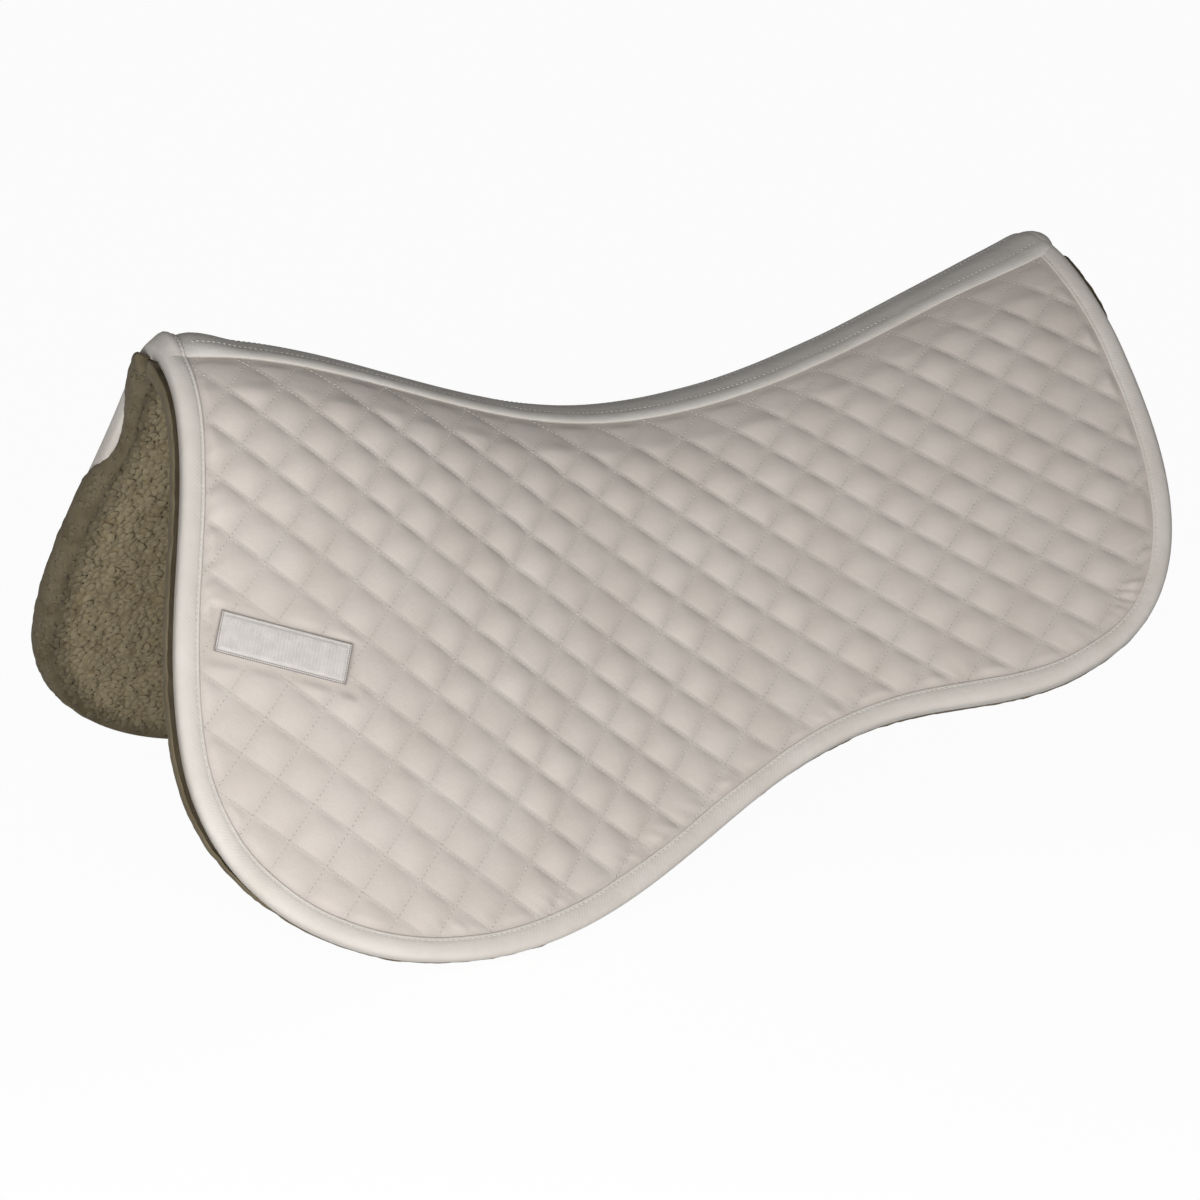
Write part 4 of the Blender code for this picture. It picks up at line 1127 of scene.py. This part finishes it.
# The loop patches. A cut length of 25 mm loop tape on each front flap takes a hook-faced strap.
# Its woven ground carries rows of fine loops. A grey thread holds three of its edges and a paler
# one the upper edge; the grey thread is darkened to carry painted shade along those three edges.
PATCH_THICK = 0.0018
PATCH_SEAT = 0.0006
PATCH_EDGE = 0.0024
PATCH_RIDGE = 0.00022
GROOVE_DEPTH = 0.0007
GROOVE_INSET = 0.0018
GROOVE_HALF = 0.0007
LOOP_ROW = 0.0021
LOOP_SPACING = 0.00085
EDGE_STITCH = (0.0013, 0.0015, 0.0009)
EDGE_STITCH_INSET = 0.0007
EDGE_STITCH_HALF = 0.0005
TOP_STITCH = (0.0030, 0.0020, 0.0006)

loop_pile = new_material("loop_pile", 0.95, 0.4, 160.0, (0.720, 0.683, 0.650), (0.800, 0.762, 0.728), 4.0)
# Thread whose dark colour is partly painted shade along three of the patch's edges.
patch_thread_and_painted_shade = thread_material("patch_thread_and_painted_shade", (0.36, 0.325, 0.30))
pale_thread = thread_material("patch_top_thread", (0.60, 0.57, 0.53))


def patch_directions(side):
    """Middle of the patch's seat, and its length, width and outward directions."""
    middle, normal = drape(PATCH_X, PATCH_DOWN, PATCH_SEAT, side)
    turn = math.radians(PATCH_TURN)
    step = 0.001 * np.array([math.cos(turn), math.sin(turn)])
    fore, back = [drape(PATCH_X + way * step[0], PATCH_DOWN + way * step[1], 0.0, side)[0]
                  for way in (1, -1)]
    length_way = (fore - back) / np.linalg.norm(fore - back)
    width_way = np.cross(length_way, normal)
    width_way *= -np.sign(width_way[2])
    return middle, length_way, width_way, normal


def on_patch(frame_ways, along, across, height):
    """World points from places on the patch."""
    middle, length_way, width_way, normal = frame_ways
    along, across, height = np.broadcast_arrays(along, across, height)
    return (middle + along[..., None] * length_way + across[..., None] * width_way
            + height[..., None] * normal)


def keep_on_patch(piece, side_name, *slots):
    """The piece stays on its side of the pad and stands for that side's loop patch."""
    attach(piece, side_name + "_side")
    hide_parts(side_name + "_loop_patch")


loop_tree, into, out = new_tree("loop_rows", Spacing="Float", Seed="Int", Material="Material")
places, turns = scatter(loop_tree, into, 2500000.0, (-0.5, -0.5, -0.9), (0.5, 0.5, 0.9))
bow = add_node(loop_tree, "GeometryNodeCurveArc", {"Resolution": 6, "Radius": 0.0006, "Sweep Angle": 3.4},
               mode="RADIUS")
stand = add_node(loop_tree, "GeometryNodeTransform", {"Geometry": bow, "Rotation": (math.pi / 2, 0.0, 0.0)})
yarn = add_node(loop_tree, "GeometryNodeCurvePrimitiveCircle", {"Resolution": 3, "Radius": 0.00009},
                mode="RADIUS")
tube = add_node(loop_tree, "GeometryNodeCurveToMesh", {"Curve": stand, "Profile Curve": yarn})
placed = add_node(loop_tree, "GeometryNodeInstanceOnPoints",
                  {"Points": places, "Instance": tube, "Rotation": turns})
end_tree(loop_tree, into, out, placed)

reach, half = PATCH_LENGTH / 2, PATCH_WIDTH / 2
along, across = np.meshgrid(np.linspace(-reach, reach, 151), np.linspace(-half, half, 31), indexing="ij")
to_edge = np.minimum(reach - np.abs(along), half - np.abs(across))
groove = GROOVE_DEPTH * np.exp(-((to_edge - GROOVE_INSET) / GROOVE_HALF) ** 2)
ridges = PATCH_RIDGE * np.abs(np.sin(math.pi * along / LOOP_ROW)) * ease((to_edge - 0.0026) / 0.001)
top = PATCH_THICK * ease(0.35 + to_edge / 0.0016) + ridges - groove
flat_uv = pairs(along, across)
inside = to_edge > PATCH_EDGE
rows_in, columns_in = [np.nonzero(inside.any(axis=axis))[0] for axis in (1, 0)]
reach, half = reach - EDGE_STITCH_INSET, half - EDGE_STITCH_INSET
t = np.linspace(0.0, 1.0, 30)
for side_name, side in SIDES:
    ways = patch_directions(side)
    surface = on_patch(ways, along, across, np.maximum(top, 0.0004))
    ground = on_patch(ways, along, across, 0.0)
    patch = new_piece(side_name + "_patch_ground", np.concatenate([surface, ground]), closed_grid(*along.shape),
                      loop_pile, np.concatenate([flat_uv, flat_uv]))
    keep_on_patch(patch, side_name, "loop_tape")
    bed = surface[rows_in[0]:rows_in[-1] + 1, columns_in[0]:columns_in[-1] + 1]
    bed_piece = new_piece(side_name + "_bed", bed, grid_faces(*bed.shape[:2]), loop_pile)
    if Vector(ways[3]).dot(bed_piece.data.polygons[100].normal) < 0:
        bed_piece.data.flip_normals()
    loops = grow(bed_piece, loop_tree, {"Spacing": LOOP_SPACING, "Seed": 4, "Material": loop_pile},
                 side_name + "_patch_loops")
    bpy.data.objects.remove(bed_piece)
    keep_on_patch(loops, side_name, "loop_tape")
    sewn_rows = []
    for (s0, s1), (e0, e1) in (((-reach, -half), (-reach, half)), ((-reach, half), (reach, half)),
                               ((reach, half), (reach, -half))):
        for offset in (-EDGE_STITCH_HALF, EDGE_STITCH_HALF):
            sewn_rows.append(on_patch(ways, s0 + (e0 - s0) * t + offset * (e1 != s1),
                                      s1 + (e1 - s1) * t + offset * (e0 != s0), 0.0013))
    stitches = sew(side_name + "_patch_stitches", sewn_rows, EDGE_STITCH, patch_thread_and_painted_shade)
    keep_on_patch(stitches, side_name)
    top_row = on_patch(ways, -reach + 2 * reach * t, -half, 0.0014)
    stitches = sew(side_name + "_patch_top_stitches", [top_row], TOP_STITCH, pale_thread)
    keep_on_patch(stitches, side_name)


# The studio. A pale seamless floor under the pad, one large soft light beside the camera and low,
# and a plain even sky, as for a product photograph on white.
CAMERA_AZIMUTH = -26.143
CAMERA_ELEVATION = 15.644
CAMERA_ROLL = 0.488
CAMERA_DISTANCE = 1.9203
CAMERA_TARGET = Vector((-0.030, 0.0, -0.047))
PHOTO_PIXELS = 1200
FOCAL_PIXELS = 2985.8
AXIS_PIXEL = (568.77, 501.65)
KEY_PLACE = Vector((-0.78, -1.31, 0.04))
KEY_AIM = Vector((-0.05, -0.10, -0.08))
KEY_SIZE = (1.20, 0.66)
KEY_POWER = 17.0
SKY_STRENGTH = 0.14
FLOOR_SHADE = 0.08
FLOOR_GLOW = 0.955


def seen_directly(tree):
    """1 for rays that the camera sees straight, mirrored or through glass, and 0 for light."""
    rays = add_node(tree, "ShaderNodeLightPath")
    seen = rays.outputs["Is Camera Ray"]
    for kind in ("Is Glossy Ray", "Is Transmission Ray"):
        seen = add_node(tree, "ShaderNodeMath", {0: seen, 1: rays.outputs[kind]}, operation="MAXIMUM")
    return seen


azimuth, elevation = math.radians(CAMERA_AZIMUTH), math.radians(CAMERA_ELEVATION)
toward = Vector((math.sin(azimuth) * math.cos(elevation), -math.cos(azimuth) * math.cos(elevation),
                 math.sin(elevation)))
lens = bpy.data.cameras.new("camera")
camera = bpy.data.objects.new("camera", lens)
scene.collection.objects.link(camera)
lens.sensor_width = 36.0
lens.lens = FOCAL_PIXELS / PHOTO_PIXELS * lens.sensor_width
lens.shift_x = (PHOTO_PIXELS / 2 - AXIS_PIXEL[0]) / PHOTO_PIXELS
lens.shift_y = (AXIS_PIXEL[1] - PHOTO_PIXELS / 2) / PHOTO_PIXELS
lens.clip_end = 50.0
camera.location = CAMERA_TARGET + toward * CAMERA_DISTANCE
camera.rotation_mode = "QUATERNION"
camera.rotation_quaternion = (-toward).to_track_quat("-Z", "Y")
camera.rotation_mode = "XYZ"
camera.rotation_euler.rotate_axis("Z", math.radians(CAMERA_ROLL))
scene.camera = camera

floor_z = min(cad_box[0].z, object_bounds()[0].z) - 0.0005
floor = new_piece("floor", [(-12, -12, floor_z), (12, -12, floor_z), (12, 12, floor_z), (-12, 12, floor_z)],
                  [(0, 1, 2, 3)], bpy.data.materials.new("floor_paper"))
paper = floor.data.materials[0]
paper.use_nodes = True
tree = paper.node_tree
tree.nodes.clear()
matt = add_node(tree, "ShaderNodeBsdfDiffuse", {"Color": (0.80, 0.80, 0.80, 1.0)})
glow = add_node(tree, "ShaderNodeEmission", {"Color": (1.0, 1.0, 1.0, 1.0), "Strength": FLOOR_GLOW})
thin = add_node(tree, "ShaderNodeBsdfDiffuse", {"Color": (FLOOR_SHADE, FLOOR_SHADE, FLOOR_SHADE, 1.0)})
both = add_node(tree, "ShaderNodeAddShader", {0: thin, 1: glow})
choice = add_node(tree, "ShaderNodeMixShader", {0: seen_directly(tree), 1: matt, 2: both})
add_node(tree, "ShaderNodeOutputMaterial", {"Surface": choice})

sky = bpy.data.worlds.new("studio_sky")
scene.world = sky
sky.use_nodes = True
tree = sky.node_tree
tree.nodes.clear()
strength = add_node(tree, "ShaderNodeMapRange", {"Value": seen_directly(tree), "To Min": SKY_STRENGTH})
back = add_node(tree, "ShaderNodeBackground", {"Color": (1.0, 1.0, 1.0, 1.0), "Strength": strength})
add_node(tree, "ShaderNodeOutputWorld", {"Surface": back})

lamp = bpy.data.lights.new("key_panel", "AREA")
lamp.shape = "RECTANGLE"
lamp.size, lamp.size_y = KEY_SIZE
lamp.energy = KEY_POWER
key = bpy.data.objects.new("key_panel", lamp)
scene.collection.objects.link(key)
key.location = KEY_PLACE
key.rotation_mode = "QUATERNION"
key.rotation_quaternion = (KEY_AIM - KEY_PLACE).to_track_quat("-Z", "Y")

scene.view_settings.view_transform = "Standard"

bpy.context.view_layer.update()
